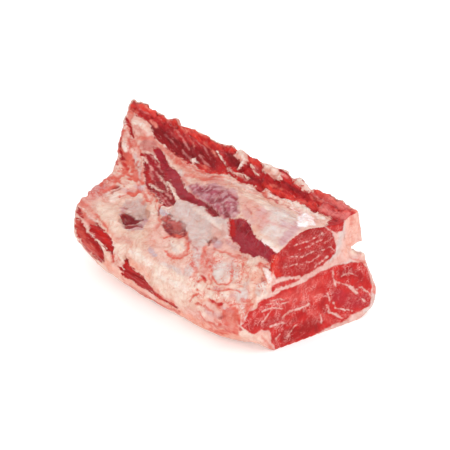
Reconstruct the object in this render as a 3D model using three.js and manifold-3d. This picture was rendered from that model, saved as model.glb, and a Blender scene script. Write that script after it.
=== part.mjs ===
// A beef short loin: the split backbone, the loin muscle under it, the tenderloin on it and the
// thin flank along the far side, lying on its outer fat. Millimetres, +Z up.
// +X points out of the flat sirloin cut, +Y from the backbone to the flank, and the origin is the
// middle of the footprint.
//
// The whole cut is one lofted body. Lengthwise rails, such as the nose of the backbone or the
// crest of the flank, carry its outline from the sirloin cut to the rib end. Seams, which are
// lofted the same way, then divide it into the muscles, the bone and the fat.
import * as THREE from "three";
import { mergeVertices } from "three/addons/utils/BufferGeometryUtils.js";
import Module from "manifold-3d";

const wasm = await Module();
wasm.setup();

// ---- Driving dimensions ----
const LENGTH = 371; // along the crest of the flank, the longest edge
const CHINE_LENGTH = 294; // along the backbone, which the slanted rib end leaves shorter
const WIDTH = 217; // from the nose of the backbone to the back
const STATIONS = 46; // steps along the body
const STEPS_PER_RAIL = 3; // outline points from one rail to the next
const SEAM_STATIONS = 16; // steps along a seam
const SEAM_GAP = 0.3; // between neighbouring pieces
const PAST_END = 0.08; // how far a seam runs past each end, as a share of the length
const OUTSIDE = 34; // how far a seam's outline stands outside the body
const VERTEBRA_PITCH = 63;
const VERTEBRA_SWELL = 1.8;
const CUT_LEAN = 0.115; // how much further the sirloin cut reaches at its foot, for each mm across
const CUT_LEAN_TOP = 120; // height where that has run out
const CUT_CROWN = 2.5; // how far the muscle ends swell out of the rib end
const BONE_PLATE = 7; // thickness of the plate that the transverse processes make

// ---- Rails ----
// Each rail runs from the sirloin cut (first value) to the rib end (last value) in equal steps.
// end is its length, y is measured from the foot of the cut's near corner, and z from the table.
const rails = {
  heel: { end: 285, y: [6, -5, -8, -6, 0, 12], z: [0, 0, 0, 0, 0, 3] },
  undercut: { end: 289, y: [-21, -34, -35, -33, -29, -14], z: [26, 15, 15, 15, 17, 22] },
  nose: { end: CHINE_LENGTH, y: [-50, -47, -44, -42, -40, -29], z: [58, 45, 41, 40, 40, 45] },
  shoulder: { end: 309, y: [-37, -32, -30, -27, -23, -16], z: [72, 77, 73, 66, 61, 59] },
  chineCrest: { end: 324, y: [-12, -5, 0, 6, 5, 5], z: [83, 91, 85, 76, 68, 62] },
  groove: { end: 330, y: [1, 16, 30, 37, 35, 33], z: [96, 99, 92, 80, 69, 63] },
  tenderloinSide: { end: 336, y: [8, 28, 48, 58, 60, 58], z: [122, 120, 110, 94, 76, 64] },
  tenderloinCrest: { end: 341, y: [51, 62, 76, 80, 80, 79], z: [139, 134, 125, 107, 84, 66] },
  valley: { end: 348, y: [92, 99, 103, 105, 104, 97], z: [130, 121, 115, 104, 92, 80] },
  flankFoot: { end: 362, y: [112, 115, 115, 116, 117, 114], z: [125, 117, 113, 105, 101, 103] },
  flankCrest: { end: LENGTH, y: [137, 139, 139, 139, 139, 138], z: [130, 131, 133, 127, 126, 127] },
  flankBack: { end: LENGTH, y: [143, 151, 153, 153, 151, 147], z: [103, 106, 106, 103, 100, 99] },
  waist: { end: 369, y: [143, 157, 161, 161, 158, 152], z: [75, 71, 70, 70, 68, 68] },
  backBulge: { end: 366, y: [154, 164, 167, 167, 165, 158], z: [31, 38, 40, 40, 39, 37] },
  backFoot: { end: 362, y: [144, 152, 155, 156, 154, 146], z: [8, 4, 3, 3, 4, 7] },
  baseBack: { end: 355, y: [128, 130, 130, 130, 130, 126], z: [0, 0, 0, 0, 0, 0] },
  baseMiddle: { end: 335, y: [84, 82, 82, 82, 82, 84], z: [0, 0, 0, 0, 0, 0] },
  baseFront: { end: 310, y: [42, 38, 36, 38, 42, 50], z: [0, 0, 0, 0, 0, 0] },
};

// The flank's crest was torn and not cut, so its height has bumps: along, height and half width.
const crestBumps = [
  { along: 352, height: 3, half: 9 },
  { along: 318, height: -4, half: 9 },
  { along: 268, height: 3, half: 16 },
  { along: 236, height: -3, half: 10 },
  { along: 196, height: 5, half: 15 },
  { along: 160, height: -3, half: 10 },
  { along: 122, height: 3, half: 16 },
  { along: 82, height: -3, half: 9 },
  { along: 40, height: 2, half: 14 },
];

const clamp = (value, low, high) => Math.min(high, Math.max(low, value));
const wave = (value, length, phase = 0) => Math.sin((2 * Math.PI * value) / length + phase);

// A value that goes evenly from one key to the next, where a key is [share of the length, value].
function keyed(share, keys) {
  const next = keys.findIndex(([where]) => where >= share);
  if (next < 0) return keys.at(-1)[1];
  if (next === 0) return keys[0][1];
  const [[from, before], [to, after]] = [keys[next - 1], keys[next]];
  return THREE.MathUtils.lerp(before, after, (share - from) / (to - from));
}

// Where a rail is at a share of its length, 0 at the sirloin cut and 1 at the rib end.
// Past either end it goes straight on along X.
function railPoint({ end, y, z }, share) {
  const curve = new THREE.CatmullRomCurve3(
    y.map((across, k) => new THREE.Vector3(0, across, z[k])),
  );
  const point = curve.getPoint(clamp(share, 0, 1));
  const lean = CUT_LEAN * Math.max(0, point.y) * Math.max(0, 1 - point.z / CUT_LEAN_TOP);
  return point.setX(-end * share + lean * (1 - share));
}

// ---- The whole body ----
function bodySection(share) {
  const list = Object.entries(rails).map(([name, rail]) => {
    const point = railPoint(rail, share);
    if (name === "flankCrest")
      for (const { along, height, half } of crestBumps)
        point.z += height * Math.exp(-(((along + point.x) / half) ** 2));
    if (name === "chineCrest") point.z += VERTEBRA_SWELL * wave(-point.x, VERTEBRA_PITCH, 0.4);
    return point;
  });
  const outline = new THREE.CatmullRomCurve3(list, true, "centripetal");
  const points = outline.getPoints(list.length * STEPS_PER_RAIL).slice(0, -1);
  for (const point of points) point.z = Math.max(0, point.z);
  return points;
}

const middleOf = (ring) =>
  ring.reduce((sum, point) => sum.add(point), new THREE.Vector3()).divideScalar(ring.length);

// A closed geometry through rings of equally many points. The first ring is the one furthest along
// +X, and seen from there, with +Y to the right, the rings run clockwise.
function loft(rings) {
  const count = rings[0].length;
  const positions = rings.flat().flatMap((point) => point.toArray());
  const index = [];
  for (let ring = 0; ring + 1 < rings.length; ring++)
    for (let k = 0; k < count; k++) {
      const a = ring * count + k;
      const b = ring * count + ((k + 1) % count);
      index.push(a, b, a + count, b, b + count, a + count);
    }
  const last = (rings.length - 1) * count;
  const hubs = [rings[0], rings.at(-1)].map(middleOf);
  positions.push(...hubs.flatMap((point) => point.toArray()));
  const firstHub = rings.length * count;
  for (let k = 0; k < count; k++) {
    const next = (k + 1) % count;
    index.push(firstHub, next, k, firstHub + 1, last + k, last + next);
  }
  const geometry = new THREE.BufferGeometry();
  geometry.setAttribute("position", new THREE.Float32BufferAttribute(positions, 3));
  geometry.setIndex(index);
  return geometry;
}

// Rings that shrink towards the middle of the rib end, so that it is a crowned face.
function crownedEnd(ring) {
  const middle = middleOf(ring);
  return [0.94, 0.6].map((size) =>
    ring.map((point) => {
      const inner = middle.clone().lerp(point, size);
      inner.x -= CUT_CROWN * (1.5 - size * size);
      return inner;
    }),
  );
}

// ---- Solids ----
function solid(geometry) {
  const bare = geometry.clone();
  bare.deleteAttribute("normal");
  bare.deleteAttribute("uv");
  const merged = mergeVertices(bare, 1e-4);
  return new wasm.Manifold(
    new wasm.Mesh({
      numProp: 3,
      vertProperties: merged.attributes.position.array,
      triVerts: new Uint32Array(merged.index.array),
    }),
  );
}

// An egg-shaped hollow. lean is the direction of its first radius, and its second radius is level.
function scoop({ along, y, z, radii, lean = [1, 0, 0] }) {
  const ball = new THREE.SphereGeometry(1, 18, 12);
  ball.scale(...radii);
  const first = new THREE.Vector3(...lean).normalize();
  const second = new THREE.Vector3(0, 0, 1).cross(first).normalize();
  const third = first.clone().cross(second);
  ball.applyMatrix4(new THREE.Matrix4().makeBasis(first, second, third));
  ball.translate(-along, y, z);
  return solid(ball);
}

const shares = (steps, first = 0, last = 1) =>
  Array.from({ length: steps + 1 }, (_, k) => first + ((last - first) * k) / steps);

function wholeBody() {
  const rings = shares(STATIONS).map(bodySection);
  rings.push(...crownedEnd(rings.at(-1)));
  return solid(loft(rings));
}

// The hollows that show in the body: the pits between the vertebrae, and the notch that parts the
// flank from the loin at the sirloin cut.
const hollows = {
  roundPit: { along: 246, y: 20, z: 76, radii: [17, 20, 17] },
  pitHole: { along: 249, y: 7, z: 70, radii: [10, 8, 14] },
  bloodPit: { along: 180, y: 22, z: 85, radii: [15, 9, 11] },
  smallPit: { along: 117, y: 21, z: 95, radii: [7, 6, 9] },
  endNotch: { along: 4, y: 147, z: 79, radii: [45, 15, 8], lean: [-0.63, 0.6, -0.49] },
  heelTuck: { along: 18, y: -5, z: 2, radii: [17, 13, 10] },
};

// ---- Seams ----
// Where a share of the length lies along X, at some distance across.
const stationX = (share, y) =>
  -share * (CHINE_LENGTH + (LENGTH - CHINE_LENGTH) * clamp((y + 50) / WIDTH, 0, 1));

// Top of the bone plate, which falls a little from the backbone to the flank.
const plateTop = (share, y) =>
  keyed(share, [[0, 95], [0.2, 82], [0.4, 77], [0.6, 67], [0.8, 56], [1, 48]]) -
  y * keyed(share, [[0, 0.185], [0.4, 0.1], [1, 0.05]]);
const PLATE_END = 124; // how far across the plate reaches
const LAP = 3; // how far an outline reaches into a piece that is cut out before it

// How far across the bodies of the vertebrae reach. The sirloin cut takes them off at an angle,
// which leaves only a rim of them there.
const boneInner = (share) => keyed(share, [[0, 4], [0.14, 24]]);

// A seam's outline is a clockwise list of [y, z] in the same frame as the rails.
const seams = {
  tenderloin(share, at) {
    const { groove, valley } = at;
    const rise = keyed(share, [[0.55, 0], [0.9, 34]]);
    const floor = (y) => plateTop(share, y) + rise;
    const heart = (valley.y - groove.y) / 2;
    return [
      [groove.y + heart, floor(groove.y + heart)],
      [groove.y + 10, Math.max(groove.z - 13, floor(groove.y)) + 1],
      [groove.y - 1, groove.z + rise / 2],
      [groove.y - 4, groove.z + OUTSIDE],
      [valley.y, valley.z + OUTSIDE],
      [valley.y, valley.z],
      [valley.y + keyed(share, [[0, 15], [0.6, 2]]), valley.z - keyed(share, [[0, 34], [0.6, 22]])],
      [valley.y - 12, floor(valley.y) + 2],
    ];
  },
  chine_bone(share, at) {
    const { nose, groove } = at;
    const inner = boneInner(share);
    const low = frontSeam(share).bone;
    return [
      [inner - keyed(share, [[0, 16], [0.14, 4]]), keyed(share, [[0, 77], [0.14, 44], [1, 34]])],
      [nose.y + keyed(share, [[0, 12], [0.14, 20]]), low + keyed(share, [[0, 5], [0.14, -2]])],
      [nose.y - OUTSIDE, low],
      [nose.y - OUTSIDE, groove.z + OUTSIDE],
      [groove.y, groove.z + OUTSIDE],
      [groove.y + 1, groove.z - 1],
      [inner + 8, plateTop(share, inner + 8)],
      [PLATE_END, plateTop(share, PLATE_END)],
      [PLATE_END, plateTop(share, PLATE_END) - BONE_PLATE],
      [inner, plateTop(share, inner) - BONE_PLATE],
    ];
  },
  suet(share, at) {
    const { groove, flankFoot } = at;
    const middle = BONE_PLATE / 2;
    return [
      [PLATE_END + 2, plateTop(share, PLATE_END) - middle],
      [groove.y - 6, plateTop(share, groove.y) - middle],
      [groove.y - 6, groove.z + OUTSIDE],
      [flankFoot.y, flankFoot.z + OUTSIDE],
      [flankFoot.y, flankFoot.z],
    ];
  },
  flank(share, at) {
    const { flankFoot, flankCrest, waist } = at;
    return [
      [waist.y + OUTSIDE, waist.z - 8],
      [waist.y - 8, waist.z - 6],
      [PLATE_END + 2 - LAP, plateTop(share, PLATE_END) - BONE_PLATE / 2],
      [flankFoot.y - LAP, flankFoot.z],
      [flankFoot.y - LAP, flankFoot.z + OUTSIDE],
      [flankCrest.y + OUTSIDE, flankCrest.z + OUTSIDE],
    ];
  },
  strip_loin(share, at) {
    const { nose, undercut, waist, backBulge } = at;
    const { bone, fat } = frontSeam(share);
    const inner = boneInner(share);
    const rim = keyed(share, [[0, 3.5], [0.1, 7], [1, 6]]); // thickness of the fat at the back
    const sole = keyed(share, [[0, 5], [0.1, 9], [1, 8]]); // and under the loin
    return [
      [backBulge.y - rim - 10, sole],
      [undercut.y + 24, sole],
      [nose.y + 9, fat],
      [nose.y - OUTSIDE, fat],
      [nose.y - OUTSIDE, bone + 2],
      [nose.y + keyed(share, [[0, 22], [0.14, 30]]), bone + keyed(share, [[0, 19], [0.14, 8]])],
      [inner, plateTop(share, inner) - BONE_PLATE / 2],
      [PLATE_END + 2, plateTop(share, PLATE_END) - BONE_PLATE / 2 + LAP],
      [waist.y - 8, waist.z - 6 + LAP],
      [waist.y - rim + 2, waist.z - 12],
      [backBulge.y - rim, backBulge.z],
    ];
  },
};

// Heights where the backbone's covering and the outer fat end on the near side. The loin shows
// between them, in a strip that opens out towards the rib end.
const frontSeam = (share) => ({
  bone: keyed(share, [[0, 55], [0.12, 36], [0.38, 31], [0.5, 38], [0.68, 52], [0.85, 63], [1, 63]]),
  fat: keyed(share, [[0, 50], [0.12, 36], [0.38, 30], [0.5, 24], [0.7, 21], [0.9, 16], [1, 13]]),
});

// An outline moved outwards by a distance, with mitred corners. The outline runs clockwise.
function widened(outline, distance) {
  return outline.map(([y, z], k) => {
    const [y0, z0] = outline.at(k - 1);
    const [y1, z1] = outline[(k + 1) % outline.length];
    const before = new THREE.Vector2(y - y0, z - z0).normalize();
    const after = new THREE.Vector2(y1 - y, z1 - z).normalize();
    const normal = new THREE.Vector2(-before.y - after.y, before.x + after.x).normalize();
    const reach = distance / Math.max(0.35, normal.dot(new THREE.Vector2(-after.y, after.x)));
    return [y + normal.x * reach, z + normal.y * reach];
  });
}

function seamSolid(name, distance = 0) {
  const rings = shares(SEAM_STATIONS, -PAST_END, 1 + PAST_END).map((share) => {
    const at = Object.fromEntries(
      Object.entries(rails).map(([rail, shape]) => [rail, railPoint(shape, share)]),
    );
    const outline = widened(seams[name](share, at), distance);
    return outline.map(([y, z]) => new THREE.Vector3(stationX(share, y), y, z));
  });
  return solid(loft(rings));
}

const biggest = (manifold) =>
  manifold.decompose().reduce((best, one) => (one.volume() > best.volume() ? one : best));

const body = Object.values(hollows).reduce((left, hollow) => left.subtract(scoop(hollow)), wholeBody());
const pieces = {};
const taken = [];
for (const name of Object.keys(seams)) {
  const inside = body.intersect(seamSolid(name));
  pieces[name] = biggest(taken.reduce((left, one) => left.subtract(one), inside));
  taken.push(seamSolid(name, SEAM_GAP));
}
pieces.fat_cover = biggest(taken.reduce((left, one) => left.subtract(one), body));

// ---- Scene graph ----
const finishes = {
  tenderloin: { color: 0xb0403c, roughness: 0.45 },
  chine_bone: { color: 0xebc8b6, roughness: 0.5 },
  suet: { color: 0xf2d9cb, roughness: 0.5 },
  flank: { color: 0x9d3034, roughness: 0.5 },
  strip_loin: { color: 0xc64b48, roughness: 0.45 },
  fat_cover: { color: 0xf0c6ac, roughness: 0.5 },
};

function meshOf(name, manifold) {
  const { vertProperties, triVerts, numProp } = manifold.getMesh();
  const geometry = new THREE.BufferGeometry();
  geometry.setAttribute("position", new THREE.BufferAttribute(vertProperties, numProp));
  geometry.setIndex(new THREE.BufferAttribute(triVerts, 1));
  const mesh = new THREE.Mesh(geometry, new THREE.MeshStandardMaterial(finishes[name]));
  mesh.name = name;
  return mesh;
}

const shortLoin = new THREE.Group();
for (const [name, manifold] of Object.entries(pieces)) shortLoin.add(meshOf(name, manifold));
const middle = new THREE.Box3().setFromObject(shortLoin).getCenter(new THREE.Vector3());
shortLoin.position.set(-middle.x, -middle.y, 0);

export default shortLoin;
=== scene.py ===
# %% [markdown]
# # A raw beef short loin
# A short loin is one big joint of meat. Its backbone was split down the middle, and shows along
# the near side. On top lies the tenderloin under its silverskin, along the far side stands the
# thin, torn flank, and underneath is the strip loin on its outer fat. The right end is a flat
# sirloin cut.
#
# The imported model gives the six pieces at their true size. Their surface is plain, so this script
# makes one fine skin round all of them, sculpts and paints it as a whole, so that fat and
# silverskin run on from piece to piece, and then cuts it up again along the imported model's seams.

# %% The frame and the units
import math

import bpy
import numpy as np
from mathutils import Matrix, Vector
from mathutils.bvhtree import BVHTree
from mathutils.kdtree import KDTree


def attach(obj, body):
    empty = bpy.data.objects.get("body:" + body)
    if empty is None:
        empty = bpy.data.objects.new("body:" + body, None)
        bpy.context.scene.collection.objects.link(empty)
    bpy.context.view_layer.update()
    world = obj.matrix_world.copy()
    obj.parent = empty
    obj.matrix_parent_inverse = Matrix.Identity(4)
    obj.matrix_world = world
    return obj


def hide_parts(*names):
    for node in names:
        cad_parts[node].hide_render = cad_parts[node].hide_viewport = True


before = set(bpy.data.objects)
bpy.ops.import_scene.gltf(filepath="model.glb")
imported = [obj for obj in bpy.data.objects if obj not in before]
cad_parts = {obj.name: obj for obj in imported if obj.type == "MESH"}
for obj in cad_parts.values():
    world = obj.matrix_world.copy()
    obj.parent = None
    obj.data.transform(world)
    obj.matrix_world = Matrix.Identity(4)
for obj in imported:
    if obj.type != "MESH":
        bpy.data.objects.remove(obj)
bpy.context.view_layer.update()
MM = 0.001
print("packed pieces:", sorted(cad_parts))

# %% [markdown]
# ## The camera
# Everything that is placed by the photograph needs the photograph's camera, so it comes first. The
# picture has no visible perspective, so the camera is orthographic. The foot of the cut's near
# corner is the one point that ties the picture to the model.

# %% The camera
PHOTO_SIDE = 450  # pixels
PIXEL = 1.15 * MM  # what one pixel of the photograph covers
AZIMUTH, ELEVATION = math.radians(46.4), math.radians(29.3)
CORNER = Vector((178.1, -58.6, 0)) * MM  # foot of the cut's near corner
CORNER_PIXEL = (270, 352)
CAMERA_DISTANCE = 2.5

to_right = Vector((math.cos(AZIMUTH), math.sin(AZIMUTH), 0))
to_camera = Vector(
    (
        math.sin(AZIMUTH) * math.cos(ELEVATION),
        -math.cos(AZIMUTH) * math.cos(ELEVATION),
        math.sin(ELEVATION),
    )
)
to_top = to_camera.cross(to_right)

middle = CORNER + to_right * (PHOTO_SIDE / 2 - CORNER_PIXEL[0]) * PIXEL
middle += to_top * (CORNER_PIXEL[1] - PHOTO_SIDE / 2) * PIXEL
bpy.ops.object.camera_add(location=middle + to_camera * CAMERA_DISTANCE)
camera = bpy.context.object
camera.rotation_euler = to_camera.to_track_quat("Z", "Y").to_euler()
camera.data.type = "ORTHO"
camera.data.ortho_scale = PHOTO_SIDE * PIXEL
bpy.context.scene.camera = camera
print("the picture is", round(camera.data.ortho_scale / MM, 1), "mm wide")


def pixels(places):
    """Where places, in metres, are seen in the photograph: pixels to the right and down."""
    offset = places - np.array(CORNER)
    across = CORNER_PIXEL[0] + offset @ np.array(to_right) / PIXEL
    down = CORNER_PIXEL[1] - offset @ np.array(to_top) / PIXEL
    return np.stack([across, down], 1)


# %% [markdown]
# ## One skin round all the pieces
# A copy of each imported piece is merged, swollen by a hair so that neighbours touch, and joined. A
# voxel remesh then wraps them in one even skin of small squares. A sphere that is pulled into shape
# would need the whole form made twice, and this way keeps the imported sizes.

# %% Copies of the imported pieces
SWELL = 0.25 * MM
VOXEL = 1.25 * MM
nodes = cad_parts


def deselect():
    bpy.ops.object.select_all(action="DESELECT")


def activate(thing):
    deselect()
    thing.select_set(True)
    bpy.context.view_layer.objects.active = thing


def apply_modifier(thing, kind, **settings):
    """Adds a modifier and applies it at once."""
    activate(thing)
    modifier = thing.modifiers.new(kind.title(), kind)
    for name, value in settings.items():
        setattr(modifier, name, value)
    bpy.ops.object.modifier_apply(modifier=modifier.name)


def merged_copy(node, name):
    """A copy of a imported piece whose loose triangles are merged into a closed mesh."""
    activate(nodes[node])
    bpy.ops.object.duplicate()
    copy = bpy.context.object
    copy.name = copy.data.name = name
    copy.parent = None
    for key in list(copy.keys()):
        del copy[key]
    bpy.ops.object.mode_set(mode="EDIT")
    bpy.ops.mesh.select_all(action="SELECT")
    bpy.ops.mesh.remove_doubles(threshold=1e-6)
    bpy.ops.object.mode_set(mode="OBJECT")
    return copy


copies = [merged_copy(node, node + "_copy") for node in sorted(nodes)]
for copy in copies:
    apply_modifier(copy, "DISPLACE", strength=SWELL, mid_level=0)
deselect()
for copy in copies:
    copy.select_set(True)
bpy.context.view_layer.objects.active = copies[0]
bpy.ops.object.join()
skin = bpy.context.object
skin.name = skin.data.name = "skin"
apply_modifier(skin, "REMESH", mode="VOXEL", voxel_size=VOXEL)
print("skin:", len(skin.data.vertices), "points")

# %% [markdown]
# ## Numbers for every point
# A skin of this many points is best shaped as arrays of numbers. A few helpers read and write the
# points, let them relax towards their neighbours, and give a smooth random field, which is the same
# on every run.

# %% Points as arrays
EASE = 0.5  # a point goes this share of the way to the mean of its neighbours
HASH_STEPS = (73856093, 19349663, 83492791)  # large primes, which scramble a cell's number
HASH_SEED = 7919
HASH_FIRST = 2654435761
HASH_SECOND = 2246822519
NOISE_GAIN = 1.6  # brings the random field to about -1 to 1


def read_points(mesh, what="co"):
    values = np.empty(len(mesh.vertices) * 3, np.float32)
    mesh.vertices.foreach_get(what, values)
    return values.reshape(-1, 3).astype(float)


def write_points(mesh, places):
    mesh.vertices.foreach_set("co", places.astype(np.float32).ravel())
    mesh.update()


def eased(values, edges, amounts):
    """Moves each point's values towards the mean of its neighbours, once for each amount."""
    count = len(values)
    first, second = edges[:, 0], edges[:, 1]
    neighbours = np.bincount(edges.ravel(), minlength=count)[:, None]
    for amount in amounts:
        total = [
            np.bincount(first, part[second], count) + np.bincount(second, part[first], count)
            for part in values.T
        ]
        values = values + amount * (np.stack(total, 1) / neighbours - values)
    return values


def step(low, high, value):
    """0 below low, 1 above high, and an even ease between them."""
    share = np.clip((value - low) / (high - low), 0, 1)
    return share * share * (3 - 2 * share)


def noise(places, size, seed=0):
    """Smooth random values from about -1 to 1. size, in mm, may differ along X, Y and Z."""
    spots = places / (np.array(size, float) * MM)
    cell = np.floor(spots).astype(np.int64)
    local = spots - cell
    ease = local**3 * (local * (local * 6 - 15) + 10)
    total = np.zeros(len(places))
    for corner in np.ndindex(2, 2, 2):
        at = (cell + corner) * HASH_STEPS
        key = (at[:, 0] ^ at[:, 1] ^ at[:, 2]) + seed * HASH_SEED
        key = (key * HASH_FIRST) & 0xFFFFFFFF
        key = ((key ^ (key >> 15)) * HASH_SECOND) & 0xFFFFFFFF
        slope = np.stack([(key >> shift) & 1023 for shift in (0, 10, 20)], 1) / 511.5 - 1
        weight = np.prod(np.where(corner, ease, 1 - ease), 1)
        total += weight * np.sum(slope * (local - corner), 1)
    return total * NOISE_GAIN


def rough(places, size, octaves=3, seed=0):
    """The same with finer and fainter layers on top."""
    size = np.array(size, float)
    return sum(noise(places, size / 2**k, seed + k) / 2**k for k in range(octaves))


links = np.empty(len(skin.data.edges) * 2, np.int32)
skin.data.edges.foreach_get("vertices", links)
links = links.reshape(-1, 2)
points = read_points(skin.data)
field = noise(points, 20)
print("random field from", field.min().round(2), "to", field.max().round(2))

# %% [markdown]
# ## The sides of the loin
# The skin is smoothed first, which takes the facets away. Smoothing is held back along the edge of
# the cut, which a saw left sharp. Then each side gets its own treatment: the sirloin cut, the rib
# end, the underside, the outer side of the flank, and the inner side that faces up. A point's side
# follows from its place and from the way that the skin faces there, and fades in between the two
# limits of a step.

# %% The sides
CUT_LEAN = 0.115  # how much further the cut reaches at its foot, for each metre across
CUT_LEAN_TOP = 120 * MM
CUT_HOLD = 0.85  # the share of the smoothing that the sharp edge of the cut is spared
SPRING_BACK = -0.52  # every second step goes back, which keeps thin edges from shrinking
EASE_ROUNDS = 14
across = points[:, 1] - CORNER.y
cut_plane = CORNER.x + CUT_LEAN * np.clip(across, 0, None) * np.clip(
    1 - points[:, 2] / CUT_LEAN_TOP, 0, None
)
to_cut = (cut_plane - points[:, 0]) / MM  # how far a point lies behind the cut, in mm
keep_sharp = step(7, 2, to_cut)
give = (1 - CUT_HOLD * keep_sharp)[:, None]
points = eased(points, links, [EASE * give, SPRING_BACK * give] * EASE_ROUNDS)
write_points(skin.data, points)
facing = read_points(skin.data, "normal")

up = points[:, 2] / MM  # how high a point lies, in mm
is_cut = step(0.45, 0.75, facing[:, 0]) * step(9, 5, to_cut)
is_rib_end = step(0.35, 0.65, -facing[:, 0]) * step(0, -30, points[:, 0] / MM)
is_under = step(0.15, 0.5, -facing[:, 2]) * step(40, 25, up)
is_back = step(0.3, 0.6, facing[:, 1]) * step(136, 142, across / MM)
is_inner = (1 - is_cut) * (1 - is_rib_end) * (1 - is_under) * (1 - is_back)
for name, side in (("cut", is_cut), ("rib end", is_rib_end), ("back", is_back)):
    print(name, int(side.sum()), "points")

# %% [markdown]
# ## Tracing the photograph
# What makes this joint itself and no other is the map of its surface: where lean meat is laid
# bare, where silverskin and sheets of fat cover it, where bone shows. Each patch is outlined in the
# pixels of the photograph, and each strand of fat is a line with a width. A point of the skin then
# knows how deep inside each patch it lies, as a distance in pixels, which gives clean edges at any
# size.

# %% Distances to outlines and lines
REACH = 14  # pixels: further away than this, an outline doesn't count


def distance(line, spots, closed):
    """How far spots lie from a line, given as x,y pairs, and whether they lie inside it."""
    line = np.array(line, float).reshape(-1, 2)
    gap = np.full(len(spots), float(REACH))
    inside = np.zeros(len(spots), bool)
    near = ((spots > line.min(0) - REACH) & (spots < line.max(0) + REACH)).all(1)
    close = spots[near]
    best = gap[near]
    odd = inside[near]
    for start, end in zip(line, np.roll(line, -1, 0)[: None if closed else -1]):
        run = end - start
        share = np.clip((close - start) @ run / max(run @ run, 1e-9), 0, 1)
        best = np.minimum(best, np.linalg.norm(close - start - share[:, None] * run, axis=1))
        crosses = (start[1] > close[:, 1]) != (end[1] > close[:, 1])
        slope = run[0] / run[1] if run[1] else 0
        odd ^= crosses & (close[:, 0] < start[0] + (close[:, 1] - start[1]) * slope)
    gap[near] = best
    inside[near] = odd
    return gap, inside


def patch(outline, spots):
    """How deep spots lie inside a closed outline, in pixels: negative outside it."""
    gap, inside = distance(outline, spots, True)
    return np.where(inside, gap, -gap)


def strand(line, width, spots):
    return width / 2 - distance(line, spots, False)[0]


def union(*depths):
    return np.maximum.reduce(depths)


def patches(outlines, spots):
    """How deep spots lie inside the deepest of several outlines."""
    return union(*[patch(outline, spots) for outline in outlines])


def strokes(lines, spots):
    """The same for strands that each come as a width and a line."""
    return union(*[strand(line, width, spots) for width, line in lines])


print("outlines count up to", round(REACH * PIXEL / MM, 1), "mm from their edge")

# %% Where the points are seen, and which of them are seen
WANDER = 1.0  # pixels by which a traced edge wanders
seen_at = pixels(points)
wander = np.stack([rough(points, 9, 3, 11), rough(points, 9, 3, 17)], 1) * WANDER
seen_at = seen_at + wander
tree = BVHTree.FromObject(skin, bpy.context.evaluated_depsgraph_get())
RAY_START = 1.5 * MM  # above the skin, so that a ray doesn't hit its own point
GRAZING = 0.03  # a point that faces the camera less than this isn't seen
SEEN_ROUNDS = 4
towards = facing @ np.array(to_camera)
seen = np.zeros(len(points))
for index in np.flatnonzero(towards > GRAZING):
    start = Vector(points[index] + facing[index] * RAY_START)
    seen[index] = tree.ray_cast(start, to_camera)[0] is None
seen = eased(seen[:, None], links, [EASE] * SEEN_ROUNDS)[:, 0]
print("seen in the photograph:", round(100 * seen.mean()), "% of the skin")

# %% [markdown]
# ## Lean meat laid bare
# The flank was torn off along its muscle, so the far wall is a band of coarse red meat. Below it
# the psoas meat shows in a smooth dark strip and in ragged patches between strands of fat, and in
# one clean window by the tenderloin's cut. Along the near foot and at the left end the loin muscle
# shows.

# %% Lean patches
FLANK_LEAN = (
    126,106, 128,92, 150,92, 175,105, 200,120, 230,130, 260,148, 290,165, 320,182, 345,196, 364,208,
    362,215, 352,219, 345,220, 336,218, 328,216, 318,213, 311,210, 304,206, 296,203, 285,199,
    276,197, 270,192, 265,189, 262,192, 258,191, 255,186, 248,184, 240,183, 236,179, 231,175,
    222,174, 210,174, 203,172, 198,168, 193,164, 188,163, 183,160, 178,156, 172,152, 167,148,
    160,142, 155,137, 151,133, 149,124, 143,118, 134,114,
)
SMOOTH_BAND = (
    152,148, 160,148, 165,156, 170,165, 177,171, 181,178, 184,186, 189,192, 197,196, 207,200,
    212,204, 216,211, 221,217, 214,217, 208,213, 207,208, 202,206, 196,205, 190,202, 182,202,
    178,199, 176,193, 173,187, 170,180, 164,172, 160,165, 157,158,
)
RAGGED_PATCH = (
    144,160, 146,154, 150,153, 156,159, 161,164, 166,172, 171,181, 174,188, 178,199, 174,204,
    168,207, 163,206, 158,200, 153,194, 148,190, 145,184, 144,174,
)
WINDOW = (
    228,220, 232,219, 240,219, 247,221, 250,225, 253,232, 257,238, 264,243, 270,247, 274,251,
    277,254, 273,258, 270,263, 268,262, 263,258, 259,256, 254,257, 249,254, 242,253, 239,250,
    239,246, 236,243, 231,239, 229,232, 229,226,
)
LOW_STRIP = (
    119,267, 124,269, 124,262, 126,256, 129,260, 130,266, 133,270, 138,272, 143,276, 146,281,
    151,286, 154,291, 158,294, 164,299, 172,303, 179,308, 176,309, 168,305, 161,301, 155,297,
    147,291, 139,287, 133,282, 127,279, 122,275, 120,271,
)
END_PATCH = (
    90,223, 98,224, 105,231, 111,238, 114,247, 113,254, 107,251, 103,245, 96,238, 90,231,
)
END_PATCH_BELOW = (
    76,218, 81,220, 86,230, 92,236, 98,242, 103,252, 105,261, 101,264, 94,257, 86,249, 79,240,
    75,228,
)
FLANK_END = (
    326,226, 330,220, 333,214, 340,213, 345,217, 344,224, 342,231, 336,233, 331,231,
)
LEAN_STROKES = [
    (3, (127,120, 131,128, 133,137)), (2.5, (122,128, 122,140, 121,152)), (3, (141,154, 147,156)),
    (2.5, (78,209, 83,219)), (4, (273,255, 271,263, 272,270)), (3, (121,152, 124,160)),
]
PINK_PATCH = (
    139,143, 146,140, 155,141, 160,148, 163,156, 158,158, 150,152, 142,150,
)
LEAN_PATCHES = [
    FLANK_LEAN, SMOOTH_BAND, RAGGED_PATCH, WINDOW, LOW_STRIP, END_PATCH, END_PATCH_BELOW, FLANK_END,
]
inner_lean = union(patches(LEAN_PATCHES, seen_at), strokes(LEAN_STROKES, seen_at))
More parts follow.
